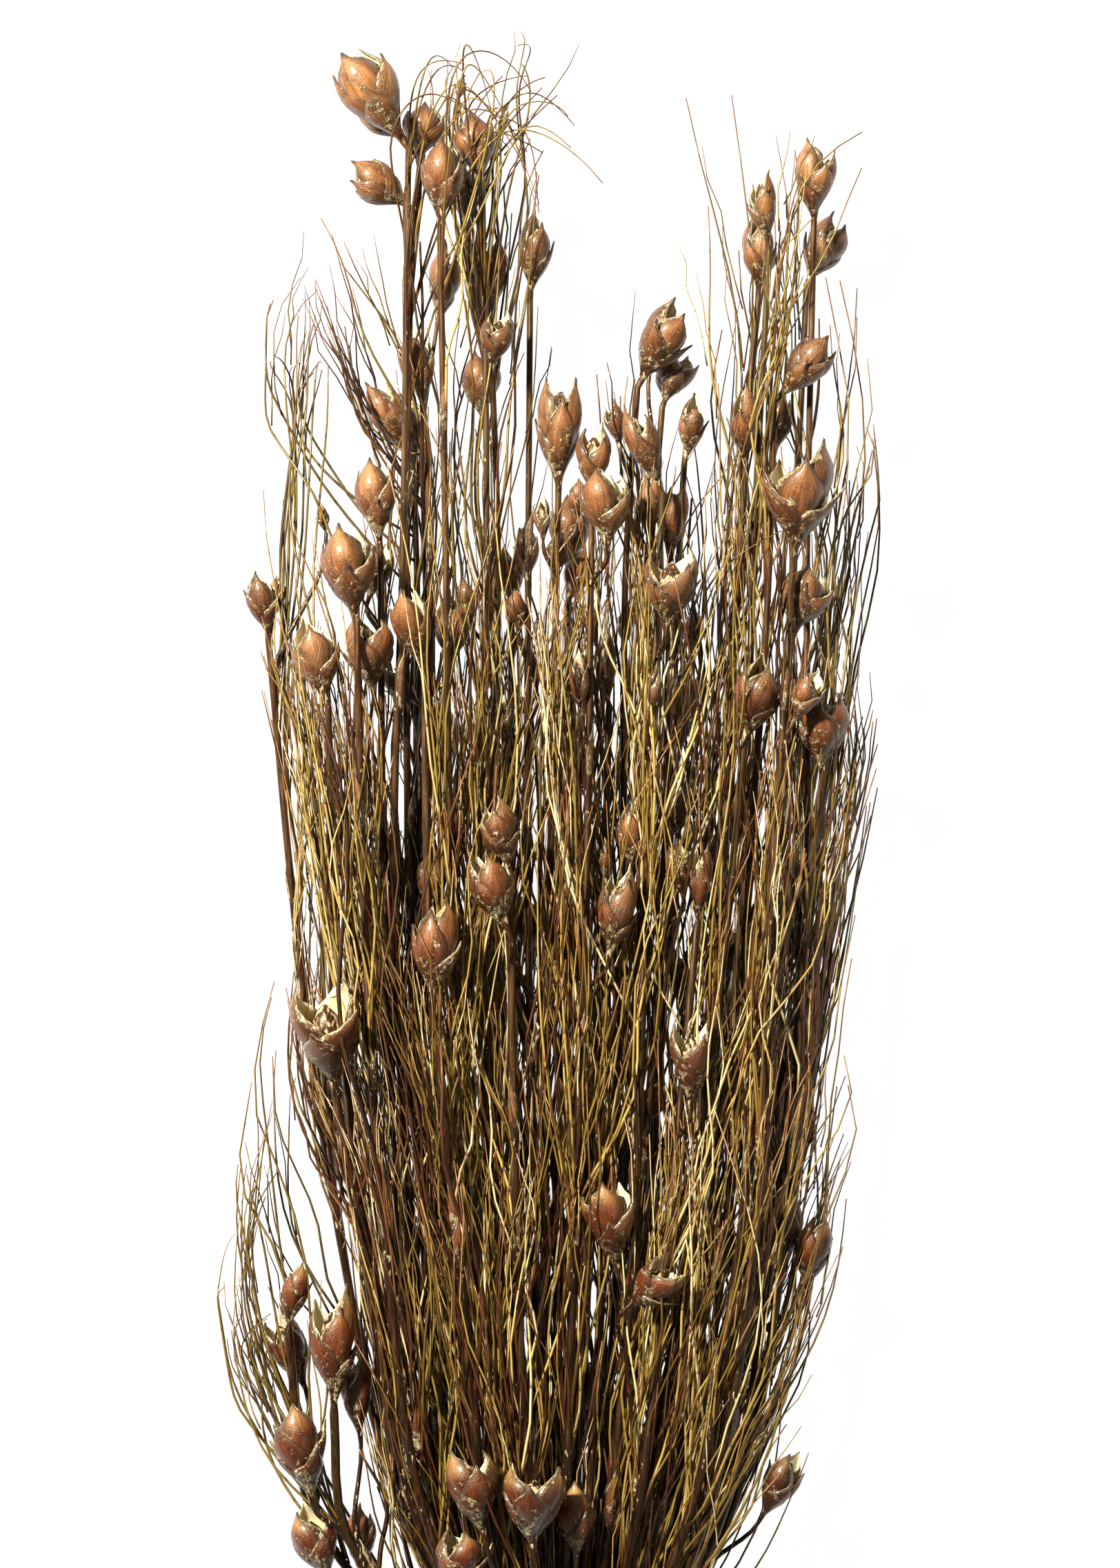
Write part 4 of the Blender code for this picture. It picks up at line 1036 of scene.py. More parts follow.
        # The crust is wrinkled lengthwise, the wrinkles about half a millimetre apart.
        wrinkle_at = add_node(tree, "VectorMath", {"operation": "MULTIPLY"},
                              (vein_at, self.wrinkles))
        grit = add_node(tree, "TexNoise", {}, {"Vector": wrinkle_at, "Scale": 1.3, "Detail": 5.0,
                                                         "Roughness": 0.7, "Distortion": 1.2})
        speckle = add_node(tree, "TexNoise", {}, {"Vector": place, "Scale": 2600.0, "Detail": 1.0})
        crusted = add_node(tree, "ValToRGB", {"stops": self.crust}, (grit,))
        lining = add_node(tree, "ValToRGB", {"stops": self.lining}, (along,))
        colour = lay_coats(tree, veined, (
            (Blend.COVER, self.tone_share, toned), (Blend.STAIN, weather, self.weathered),
            (Blend.STAIN, lower, self.foot),
            # Painted shade: the bracts darken towards the butts, where the bunch is thickest.
            (Blend.STAIN, butt_share(tree, self.butt_shade_most), self.butt_shade),
            (Blend.COVER, gilt_and_highlight_share, self.gilt_and_highlight), (Blend.COVER, crease_shade, self.crease_shade),
            (Blend.COVER, point, self.tip), (Blend.COVER, crust, crusted),
            (Blend.COVER, inner, lining)))
        # A waxy coat over a finely pitted skin glints in points; the crust is duller.
        gloss = add_node(tree, "MapRange", {}, (veins, *self.gloss_range))
        dull = add_node(tree, "Math", {"operation": "MULTIPLY_ADD"},
                        (crust, self.crust_dullness, gloss))
        pits = add_node(tree, "Math", {"operation": "MULTIPLY_ADD"},
                        (speckle, self.speckle_height, veins))
        ridges = add_node(tree, "Math", {"operation": "MULTIPLY"}, (crust, grit))
        height = add_node(tree, "Math", {"operation": "ADD"}, (pits, ridges))
        bump = add_node(tree, "Bump", {}, {"Strength": 0.75, "Distance": 0.0004, "Height": height})
        plug(tree, shader, {"Base Color": colour, "Roughness": dull, "Coat Weight": 0.55,
                            "Coat Roughness": 0.17, "Specular IOR Level": 0.75,
                            "Specular Tint": linear(self.sheen), "Normal": bump})
        return made


@dataclass(frozen=True)
class CulmFinish:
    """Culms and stalks: glossy dark brown with olive stretches and pale flecks."""

    name: str = "dry_culm"
    bark: tuple = ((0.25, "1A100A"), (0.42, "382112"), (0.58, "5C3B1F"), (0.80, "927040"))
    olive: str = "4E4620"
    butt_shade: str = "6A4A34"
    sheen: str = "FFE6B8"
    fleck: str = "BFA67A"
    pith: str = "B59A6A"
    joint: str = "2A140B"
    butt_shade_most: float = 0.85
    fibre_scale: tuple = (900.0, 45.0, 900.0)
    fleck_scale: tuple = (800.0, 260.0, 800.0)
    fleck_limit: tuple = (-0.17, 0.70)
    olive_range: tuple = (0.45, 1.0, 0.0, 0.5)
    fleck_range: tuple = (0.0, 0.06, 0.0, 0.8)
    cut_range: tuple = (1.3, 1.9, 0.0, 1.0)
    gloss_range: tuple = (0.3, 0.7, 0.24, 0.5)

    def make(self) -> Material:
        """Builds the material.

        Returns:
            The material of the culms, the stalks and the funnels under the heads.
        """
        made, tree, shader = new_material(self.name)
        near_joint, tone, rough_skin = marks_of(tree)
        place = add_node(tree, "TexCoord").outputs["Object"]
        # Fibres run along the bunch, so the pattern is drawn out in that direction.
        long = add_node(tree, "Mapping", {}, {"Vector": place, "Scale": self.fibre_scale})
        fibres = add_node(tree, "TexNoise", {}, {"Vector": long, "Scale": 1.0, "Detail": 4.0,
                                                           "Roughness": 0.6})
        bark = add_node(tree, "ValToRGB", {"stops": self.bark}, (fibres,))
        greener = add_node(tree, "MapRange", {}, (tone, *self.olive_range))
        # Flecks of dried skin, under a millimetre across and drawn out along the culm.
        drawn = add_node(tree, "Mapping", {}, {"Vector": place, "Scale": self.fleck_scale})
        skin = add_node(tree, "TexNoise", {}, {"Vector": drawn, "Scale": 1.0, "Detail": 3.0})
        limit = add_node(tree, "Math", {"operation": "MULTIPLY_ADD"},
                         (rough_skin, *self.fleck_limit))
        over = add_node(tree, "Math", {"operation": "SUBTRACT"}, (skin, limit))
        flecks = add_node(tree, "MapRange", {}, (over, *self.fleck_range))
        # The cut ends show the pale pith.
        cut = add_node(tree, "MapRange", {}, (rough_skin, *self.cut_range))
        colour = lay_coats(tree, bark, (
            (Blend.COVER, greener, self.olive), (Blend.COVER, near_joint, self.joint),
            # Painted shade: the culms darken towards the butts, where the bunch is thickest.
            (Blend.STAIN, butt_share(tree, self.butt_shade_most), self.butt_shade),
            (Blend.COVER, flecks, self.fleck), (Blend.COVER, cut, self.pith)))
        gloss = add_node(tree, "MapRange", {}, (fibres, *self.gloss_range))
        height = add_node(tree, "Math", {"operation": "ADD"}, (fibres, flecks))
        bump = add_node(tree, "Bump", {}, {"Strength": 0.5, "Distance": 0.0003, "Height": height})
        plug(tree, shader, {"Base Color": colour, "Roughness": gloss, "Specular Tint": linear(self.sheen),
                            "Normal": bump})
        return made


@dataclass(frozen=True)
class BranchletFinish:
    """Branchlets: wiry, olive gold and straw, red brown at foot and joints, hair-brown tips."""

    name: str = "dry_branchlet"
    tones: tuple = ((0.0, "25130A"), (0.20, "54301A"), (0.34, "60491D"), (0.50, "8A712F"),
                    (0.68, "B6974C"), (0.86, "E8D79E"), (1.0, "8A5C36"))
    dappled: str = "8A6A3C"
    shade: str = "3A2A18"
    sheen: str = "FFEDB8"
    foot: str = "4E1D10"
    hair: str = "7A4A32"
    joints: float = 5.0
    hue_shift: tuple = (0.6, -0.32)
    dapple_range: tuple = (0.35, 0.7, 0.0, 0.6)
    joint_range: tuple = (0.10, 0.0, 0.0, 0.9)
    foot_range: tuple = (0.16, 0.0, 0.0, 0.9)
    hair_range: tuple = (0.78, 1.0, 0.0, 0.7)
    gloss_range: tuple = (0.3, 0.7, 0.20, 0.42)

    def make(self) -> Material:
        """Builds the material.

        Returns:
            The material of all the barren branchlets.
        """
        made, tree, shader = new_material(self.name)
        along, tone, sunk = marks_of(tree)
        place = add_node(tree, "TexCoord").outputs["Object"]
        # Hue and shade change every few centimetres along a branchlet.
        shades = add_node(tree, "TexNoise", {}, {"Vector": place, "Scale": 45.0, "Detail": 4.0,
                                                           "Roughness": 0.6})
        shifted = add_node(tree, "Math", {"operation": "MULTIPLY_ADD"},
                           (shades, *self.hue_shift))
        shifted = add_node(tree, "Math", {"operation": "ADD"}, (shifted, tone))
        toned = add_node(tree, "ValToRGB", {"stops": self.tones}, (shifted,))
        dapple = add_node(tree, "MapRange", {}, (shades, *self.dapple_range))
        steps = add_node(tree, "Math", {"operation": "MULTIPLY_ADD"}, (along, self.joints, tone))
        beat = add_node(tree, "Math", {"operation": "FRACT"}, (steps,))
        knot = add_node(tree, "MapRange", {}, (beat, *self.joint_range))
        low = add_node(tree, "MapRange", {}, (along, *self.foot_range))
        red = add_node(tree, "Math", {"operation": "MAXIMUM"}, (knot, low))
        high = add_node(tree, "MapRange", {}, (along, *self.hair_range))
        # Painted shade: branchlets that lie low, deep in the bunch, are darkened.
        colour = lay_coats(tree, toned, (
            (Blend.STAIN, dapple, self.dappled), (Blend.STAIN, sunk, self.shade),
            (Blend.COVER, red, self.foot), (Blend.COVER, high, self.hair)))
        gloss = add_node(tree, "MapRange", {}, (shades, *self.gloss_range))
        bump = add_node(tree, "Bump", {}, {"Strength": 0.3, "Distance": 0.0002, "Height": shades})
        plug(tree, shader, {"Base Color": colour, "Roughness": gloss, "Specular Tint": linear(self.sheen),
                            "Normal": bump})
        return made


@dataclass(frozen=True)
class TwineFinish:
    """Jute twine: pale brown fibres that follow the twist."""

    name: str = "jute_twine"
    fibres: tuple = ((0.3, "7A5B36"), (0.5, "A98555"), (0.75, "D0B585"))
    fibre_scale: tuple = (0.25, 2.0, 1.0)

    def make(self) -> Material:
        """Builds the material.

        Returns:
            The material of the tie.
        """
        made, tree, shader = new_material(self.name)
        grain = add_node(tree, "Attribute", {"attribute_name": "grain"}).outputs["Vector"]
        drawn = add_node(tree, "Mapping", {}, {"Vector": grain, "Scale": self.fibre_scale})
        noise = add_node(tree, "TexNoise", {}, {"Vector": drawn, "Scale": 3.0, "Detail": 5.0,
                                                          "Roughness": 0.7})
        dyed = add_node(tree, "ValToRGB", {"stops": self.fibres}, (noise,))
        bump = add_node(tree, "Bump", {}, {"Strength": 0.8, "Distance": 0.0004, "Height": noise})
        # Loose fibres scatter the light, which gives jute its soft, dull edge.
        plug(tree, shader, {"Base Color": dyed, "Roughness": 0.85, "Sheen Weight": 0.25, "Normal": bump})
        return made


@dataclass(frozen=True)
class FloorFinish:
    """White ground that glows like a light table, so that even the finest hairs stand out on it."""

    name: str = "white_sweep"
    ground: str = "4A4A49"
    light: str = "FFFFFF"
    glow: float = 0.98

    def make(self) -> Material:
        """Builds the material.

        Returns:
            The material of the floor.
        """
        made, tree, shader = new_material(self.name)
        plug(tree, shader, {"Base Color": linear(self.ground), "Roughness": 0.9,
                            "Emission Color": linear(self.light), "Emission Strength": self.glow})
        return made


@dataclass
class Tube:
    """A round-sectioned piece along a row of points, with a mark at each point for its finish."""

    path: np.ndarray
    radii: np.ndarray
    marks: np.ndarray


def placed(points: np.ndarray) -> np.ndarray:
    """Moves points from layout millimetres to the part's metres, none of them under its surface.

    Args:
        points: Rows of X, Y and Z.

    Returns:
        The same points in the part's frame.
    """
    spots = np.array(points, dtype=float)
    spots[:, 2] = np.maximum(spots[:, 2], 0.0)
    return (spots - np.array([ORIGIN_X, ORIGIN_Y, 0.0])) * MM


def place(name: str, data: ID, spot: tuple = (0.0, 0.0, 0.0)) -> Object:
    """Makes a mesh, a lamp or a camera an object of the scene.

    Args:
        name: Name of the object.
        data: What it shows.
        spot: Where it stands.

    Returns:
        The object.
    """
    made = bpy.data.objects.new(name, data)
    made.location = spot
    bpy.context.scene.collection.objects.link(made)
    return made


def link(name: str, mesh: Mesh, finish: Material) -> Object:
    """Makes a mesh an object of the scene, in one material.

    Args:
        name: Name of both.
        mesh: The mesh.
        finish: The material.

    Returns:
        The object.
    """
    mesh.name = name
    mesh.materials.clear()
    mesh.materials.append(finish)
    return place(name, mesh)


def declare(piece: Object, node: str) -> None:
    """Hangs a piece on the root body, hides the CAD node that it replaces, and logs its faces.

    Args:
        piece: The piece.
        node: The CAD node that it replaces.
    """
    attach(piece, "root")
    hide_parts(node)
    LOG.info("%s: %d faces", piece.name, len(piece.data.polygons))


def mark(mesh: Mesh, name: str, values: np.ndarray) -> None:
    """Gives each point of a mesh a value, or a row of three, that the finishes read by its name."""
    kind, key = ("FLOAT_VECTOR", "vector") if values.ndim == 2 else ("FLOAT", "value")
    mesh.attributes.new(name, kind, "POINT").data.foreach_set(key, values.astype(np.float32).ravel())


def sweep(tubes: list[Tube], resolution: int) -> Mesh:
    """Makes one mesh of many tubes, by bevelling curves.

    Args:
        tubes: The tubes, in layout millimetres.
        resolution: Bevel resolution: 0 gives 4 sides, 1 gives 6, 2 gives 8.

    Returns:
        A mesh with closed ends and the point attribute "grain".
    """
    sides = 4 + 2 * resolution
    curve = bpy.data.curves.new("sweep", "CURVE")
    curve.dimensions = "3D"
    curve.bevel_depth = MM
    curve.bevel_resolution = resolution
    for tube in tubes:
        spline = curve.splines.new("POLY")
        count = len(tube.path)
        spline.points.add(count - 1)
        spots = np.ones((count, 4), np.float32)
        spots[:, :3] = placed(tube.path)
        spline.points.foreach_set("co", spots.ravel())
        spline.points.foreach_set("radius", np.asarray(tube.radii, np.float32))
    holder = bpy.data.objects.new("sweep", curve)
    bpy.context.scene.collection.objects.link(holder)
    mesh = bpy.data.meshes.new_from_object(holder.evaluated_get(bpy.context.evaluated_depsgraph_get()))
    bpy.data.objects.remove(holder)
    bpy.data.curves.remove(curve)
    mark(mesh, "grain", np.concatenate([np.repeat(tube.marks, sides, axis=0) for tube in tubes]))
    shape = bmesh.new()
    shape.from_mesh(mesh)
    ends = [edge for edge in shape.edges if edge.is_boundary]
    bmesh.ops.holes_fill(shape, edges=ends, sides=0)
    bmesh.ops.recalc_face_normals(shape, faces=shape.faces)
    for face in shape.faces:
        face.smooth = True
    shape.to_mesh(mesh)
    shape.free()
    while mesh.uv_layers:
        mesh.uv_layers.remove(mesh.uv_layers[0])
    return mesh


def frame_of(axis: np.ndarray) -> tuple[np.ndarray, np.ndarray, np.ndarray]:
    """Finds two directions square to an axis.

    Args:
        axis: The axis, of any length.

    Returns:
        The axis, a sideways and an upward direction, all of length one.
    """
    along = axis / np.linalg.norm(axis)
    side = np.cross(along, (0.0, 0.0, 1.0))
    side = side / np.linalg.norm(side)
    return along, side, np.cross(side, along)


@dataclass
class Bract:
    """One bract: where it springs from its axis and how it wraps, bulges and spreads."""

    base: np.ndarray
    axis: np.ndarray
    turn: float
    start: float
    reach: float
    half_width: float
    profile: tuple
    belly: float
    flare: float
    awn: float
    hook: float
    tone: float
    seed: int


@dataclass
class BractMaker:
    """Shapes every bract from one small sheet."""

    across: int = 6
    along: int = 8
    thickness: float = 0.16
    rows: tuple = (0.0, 0.12, 0.26, 0.40, 0.54, 0.68, 0.80, 0.90, 1.0)
    widths: tuple = (0.45, 0.76, 0.94, 1.00, 0.97, 0.80, 0.48, 0.16, 0.02)
    tuck: float = 0.17
    bulge: float = 0.20
    overlap: float = 0.12
    ragged: float = 0.11

    def sheet(self) -> Mesh:
        """Makes the flat sheet with a thickness, whose corners hold its grid places.

        Returns:
            A mesh from -1 to 1 across, 0 to 1 along, and 0 outside to -1 inside.
        """
        shape = bmesh.new()
        bmesh.ops.create_grid(shape, x_segments=self.across, y_segments=self.along, size=1.0)
        for vert in shape.verts:
            vert.co.y = 0.5 * vert.co.y + 0.5
        bmesh.ops.solidify(shape, geom=shape.faces[:], thickness=1.0)
        for face in shape.faces:
            face.smooth = True
        mesh = bpy.data.meshes.new("sheet")
        bmesh.ops.recalc_face_normals(shape, faces=shape.faces)
        shape.to_mesh(mesh)
        shape.free()
        return mesh

    def points(self, bract: Bract, sheet: np.ndarray) -> np.ndarray:
        """Bends the sheet into one bract.

        Args:
            bract: The bract.
            sheet: Places of the sheet's vertices.

        Returns:
            Their places in layout millimetres.
        """
        u, w = sheet[:, 0], np.abs(sheet[:, 2])
        row = np.rint(sheet[:, 1] * self.along).astype(int)
        column = np.rint((u + 1.0) * 0.5 * self.across).astype(int)
        v = np.asarray(self.rows)[row]
        dice = np.random.RandomState(bract.seed)
        torn = dice.uniform(-1.0, 1.0, (self.along + 1, self.across + 1))[row, column]
        along, side, up = frame_of(bract.axis)
        length = float(np.linalg.norm(bract.axis))
        pointed = np.clip((v - 0.84) / 0.16, 0.0, 1.0)
        share = bract.start + bract.reach * v * (1.0 - 0.22 * bract.flare * v)
        share = share + bract.awn / length * pointed
        places, sizes = bract.profile
        radius = np.interp(share, places, sizes) * (1.0 - self.overlap * 0.55 + self.overlap * v)
        radius = radius + bract.belly * bract.flare * v ** 2.2
        wide = bract.half_width * np.asarray(self.widths)[row]
        wide = wide * (1.0 + self.ragged * torn * (np.abs(u) > 0.9))
        angle = np.clip(wide / np.maximum(radius, 0.25), 0.0, 1.9) * u + bract.turn
        radius = radius - self.tuck * bract.belly * np.abs(u) ** 2.5 * (1.0 - 0.6 * v)
        radius = radius + self.bulge * bract.belly * (1.0 - u * u) * np.sin(math.pi * v)
        radius = radius + bract.hook * pointed ** 2
        radius = np.maximum(radius - self.thickness * w, 0.05)
        share = share + 0.012 * torn * (v > 0.2) * (np.abs(u) > 0.9)
        spoke = np.cos(angle)[:, None] * side + np.sin(angle)[:, None] * up
        return bract.base + along * (share * length)[:, None] + spoke * radius[:, None]

    def build(self, bracts: list[Bract]) -> Mesh:
        """Makes one mesh of many bracts.

        Args:
            bracts: The bracts.

        Returns:
            The mesh, with the point attributes "grain", "share" and "inner".
        """
        template = self.sheet()
        sheet = np.empty(len(template.vertices) * 3, np.float32)
        template.vertices.foreach_get("co", sheet)
        sheet = sheet.reshape(-1, 3).astype(float)
        shape = bmesh.new()
        for _ in bracts:
            shape.from_mesh(template)
        mesh = bpy.data.meshes.new("bracts")
        shape.to_mesh(mesh)
        shape.free()
        bpy.data.meshes.remove(template)
        spots = np.concatenate([self.points(bract, sheet) for bract in bracts])
        mesh.vertices.foreach_set("co", placed(spots).astype(np.float32).ravel())
        marks = []
        shares = []
        for bract in bracts:
            marks.append(np.column_stack((sheet[:, 0], sheet[:, 1], np.full(len(sheet), bract.tone))))
            shares.append(bract.start + bract.reach * sheet[:, 1])
        mark(mesh, "grain", np.concatenate(marks))
        mark(mesh, "share", np.concatenate(shares))
        mark(mesh, "inner", np.tile(np.abs(sheet[:, 2]), len(bracts)))
        mesh.update()
        return mesh


@dataclass
class Spikelets:
    """The flower heads of one stem, and the papery sheaths at its joints."""

    stem: Stem
    heads: list[Head]
    envelope: tuple = ((0.0, 0.08, 0.16, 0.24, 0.32, 0.42, 0.52, 0.62, 0.72, 0.82, 0.92, 1.0, 1.3),
                       (0.13, 0.16, 0.22, 0.35, 0.58, 0.80, 0.93, 0.95, 0.86, 0.66, 0.38, 0.16, 0.06))
    counts: tuple = ((6.0, 3), (9.0, 4), (12.0, 5), (99.0, 6))
    golden_turn: float = 2.55
    sheath_length: float = 24.0
    maker: BractMaker = field(default_factory=BractMaker)

    def head_profile(self, width: float, openness: float) -> tuple[np.ndarray, np.ndarray]:
        """Half-widths of a head along its length.

        Args:
            width: Width of the head.
            openness: How far it is open.

        Returns:
            Shares of the length and the radius at each.
        """
        places = np.asarray(self.envelope[0])
        sizes = np.asarray(self.envelope[1]) * width / 2.0
        rise = np.clip((places - 0.45) / 0.5, 0.0, 1.0)
        return places, sizes + openness * 0.5 * width / 2.0 * rise * rise * (3.0 - 2.0 * rise)

    def head_bracts(self, head: Head, seed: int) -> list[Bract]:
        """Draws the bracts of one head in a spiral from its funnel to its tip.

        Args:
            head: The head.
            seed: Its own number.

        Returns:
            The bracts.
        """
        dice = dice_for(Draw.BRACTS, seed)
        count = next(number for limit, number in self.counts if head.width < limit)
        profile = self.head_profile(head.width, head.openness)
        belly = head.width / 2.0
        turn = dice.uniform(0.0, math.tau)
        tone = dice.uniform(0.05, 0.75)
        made = []
        for j in range(count):
            rank = j / (count - 1)
            start = 0.08 + 0.33 * rank + dice.uniform(-0.03, 0.03)
            reach = 0.50 + 0.08 * rank + dice.uniform(-0.06, 0.03)
            spread = dice.uniform(0.0, 0.26) * (1.0 - rank) + head.openness * dice.uniform(0.05, 0.75)
            made.append(Bract(
                base=head.base, axis=head.tip - head.base,
                turn=turn + j * self.golden_turn + dice.uniform(-0.2, 0.2),
                start=start, reach=reach, half_width=belly * (1.30 + 0.2 * rank), profile=profile,
                belly=belly, flare=spread * (1.0 - 0.4 * rank),
                awn=dice.uniform(0.3, 0.55) * belly * (1.0 - 0.7 * rank), hook=dice.uniform(-0.3, 1.8),
                tone=unit(tone + dice.gauss(0.0, 0.14)), seed=seed * 31 + j))
        return made

    def sheaths(self) -> list[Bract]:
        """Draws the pointed sheaths that wrap the culm at its joints.

        Returns:
            The sheaths.
        """
        dice = dice_for(Draw.SHEATHS, self.stem.index)
        made = []
        for number, y in enumerate(joints_of(self.stem)):
            foot = self.stem.at(y)
            way = self.stem.at(y + 4.0) - self.stem.at(y - 1.0)
            axis = way / np.linalg.norm(way) * self.sheath_length
            radius = self.stem.radius_at(y)
            profile = ((0.0, 1.0), (radius * 1.22, radius * 1.34))
            made.append(Bract(
                base=foot, axis=axis, turn=dice.uniform(0.0, math.tau), start=0.0,
                reach=dice.uniform(0.7, 1.0), half_width=radius * 2.9, profile=profile, belly=radius,
                flare=dice.uniform(0.0, 0.35), awn=dice.uniform(1.0, 4.0), hook=dice.uniform(0.0, 0.8),
                tone=dice.uniform(0.5, 1.0),
                seed=self.stem.index * 97 + number))
        return made

    def build(self, finish: Material) -> None:
        """Makes the piece of the stem's bracts.

        Args:
            finish: The bracts' material.
        """
        bracts = self.sheaths()
        for number, head in enumerate(self.heads):
            bracts += self.head_bracts(head, self.stem.index * 40 + number)
        node = self.stem.node
        declare(link(node + "_bracts", self.maker.build(bracts), finish), node)


def joints_of(stem: Stem) -> list[float]:
    """Places of a culm's joints.

    Args:
        stem: The stem.

    Returns:
        Distances from the butts.
    """
    dice = dice_for(Draw.JOINTS, stem.index)
    places = []
    y = dice.uniform(112.0, 165.0)
    while y < stem.points[-1][1] - 45.0:
        places.append(y)
        y += dice.uniform(68.0, 104.0)
    places.append(stem.sheath_y)
    return sorted(places)


@dataclass
class Culm:
    """A smooth culm with swollen joints, its side stalks and the funnels under its heads."""

    stem: Stem
    heads: list[Head]
    step: float = 11.0
    swell: float = 0.16
    swell_length: float = 7.0
    funnel: tuple = ((0.0, 0.10, 0.20, 0.30, 0.42, 0.56, 0.70, 0.80),
                     (0.15, 0.18, 0.26, 0.42, 0.64, 0.72, 0.48, 0.12))

    def culm_tube(self, head: Head) -> Tube:
        """Runs the culm from its cut end into the funnel of its top head.

        Args:
            head: The head that ends the culm.

        Returns:
            The tube.
        """
        points = self.stem.points
        top = points[-1][1]
        ys = np.arange(0.0, top, self.step)
        joints = joints_of(self.stem)
        extra = [y + d for y in joints for d in (-2.5, 0.0, 3.0)]
        ys = np.unique(np.concatenate((ys, extra, [top])))
        ys = ys[(ys >= 0.0) & (ys <= top)]
        path = np.column_stack([self.smooth(ys, points[:, 1], points[:, k]) for k in range(3)])
        radii = np.array([self.stem.radius_at(y) for y in ys])
        near = np.zeros(len(ys))
        for y in joints:
            near = np.maximum(near, np.exp(-((ys - y) / self.swell_length) ** 2))
        radii = radii * (1.0 + self.swell * near)
        dice = dice_for(Draw.CULM_TONE, self.stem.index)
        tone = dice.uniform(0.0, 1.0)
        marks = np.column_stack((near * 0.8, np.full(len(ys), tone), near * 0.6))
        cap_path, cap_radii, cap_marks = self.funnel_rings(head, tone)
        rim = path[0] + np.array([0.0, 0.25, 0.0])
        cut = (path[0] - np.array([0.0, 0.01, 0.0]), path[0], rim)
        path = np.vstack((*cut, path[1:], cap_path))
        radii = np.concatenate((np.array([0.2, 0.92, 1.0]) * radii[0], radii[1:], cap_radii))
        marks = np.vstack(([[0.0, tone, 2.0]] * 2, marks, cap_marks))
        return Tube(path, radii, marks)

    def smooth(self, ys: np.ndarray, knots: np.ndarray, values: np.ndarray) -> np.ndarray:
        """Draws a smooth line through the culm's points.

        Args:
            ys: Places wanted.
            knots: Places known.
            values: Values there.

        Returns:
            Values at the wanted places.
        """
        slopes = np.gradient(values, knots)
        cell = np.clip(np.searchsorted(knots, ys, side="right") - 1, 0, len(knots) - 2)
        span = knots[cell + 1] - knots[cell]
        t = (ys - knots[cell]) / span
        return hermite(t, values[cell], slopes[cell], values[cell + 1], slopes[cell + 1], span)

    def funnel_rings(self, head: Head, tone: float) -> tuple[np.ndarray, np.ndarray, np.ndarray]:
        """Draws the rough funnel and the heart that the bracts stand round.

        Args:
            head: The head.
            tone: Shade of the stem.

        Returns:
            Path, radii and marks.
        """
        shares = np.asarray(self.funnel[0])[1:]
        path = head.base + (head.tip - head.base) * shares[:, None]
        radii = np.asarray(self.funnel[1])[1:] * head.width / 2.0
        marks = np.column_stack((np.full(len(shares), 0.15), np.full(len(shares), tone * 0.4),
                                 np.ones(len(shares))))
        return path, radii, marks

    def stalk_tube(self, head: Head, number: int) -> Tube:
        """Runs a side stalk from the culm into its head.

        Args:
            head: The head that it carries.
            number: The head's own number.

        Returns:
            The tube.
        """
        tone = dice_for(Draw.STALK_TONE, number).uniform(0.0, 0.8)
        path = np.array(head.route)
        count = len(path)
        radii = np.linspace(STALK_RADIUS, max(STALK_RADIUS * 0.75, 0.12 * head.width / 2.0), count)
        fade = np.linspace(1.0, 0.0, count)
        marks = np.column_stack((fade, np.full(count, tone), 0.3 + 0.5 * fade))
        cap_path, cap_radii, cap_marks = self.funnel_rings(head, tone)
        return Tube(np.vstack((path, cap_path)), np.concatenate((radii, cap_radii)),
                    np.vstack((marks, cap_marks)))

    def build(self, finish: Material) -> None:
        """Makes the piece of the culm and its stalks.

        Args:
            finish: The culms' material.
        """
        tubes = [self.culm_tube(self.heads[0])]
        tubes += [self.stalk_tube(head, k + self.stem.index * 40) for k, head in enumerate(self.heads[1:])]
        node = self.stem.node
        declare(link(node + "_culm", sweep(tubes, 2), finish), node)


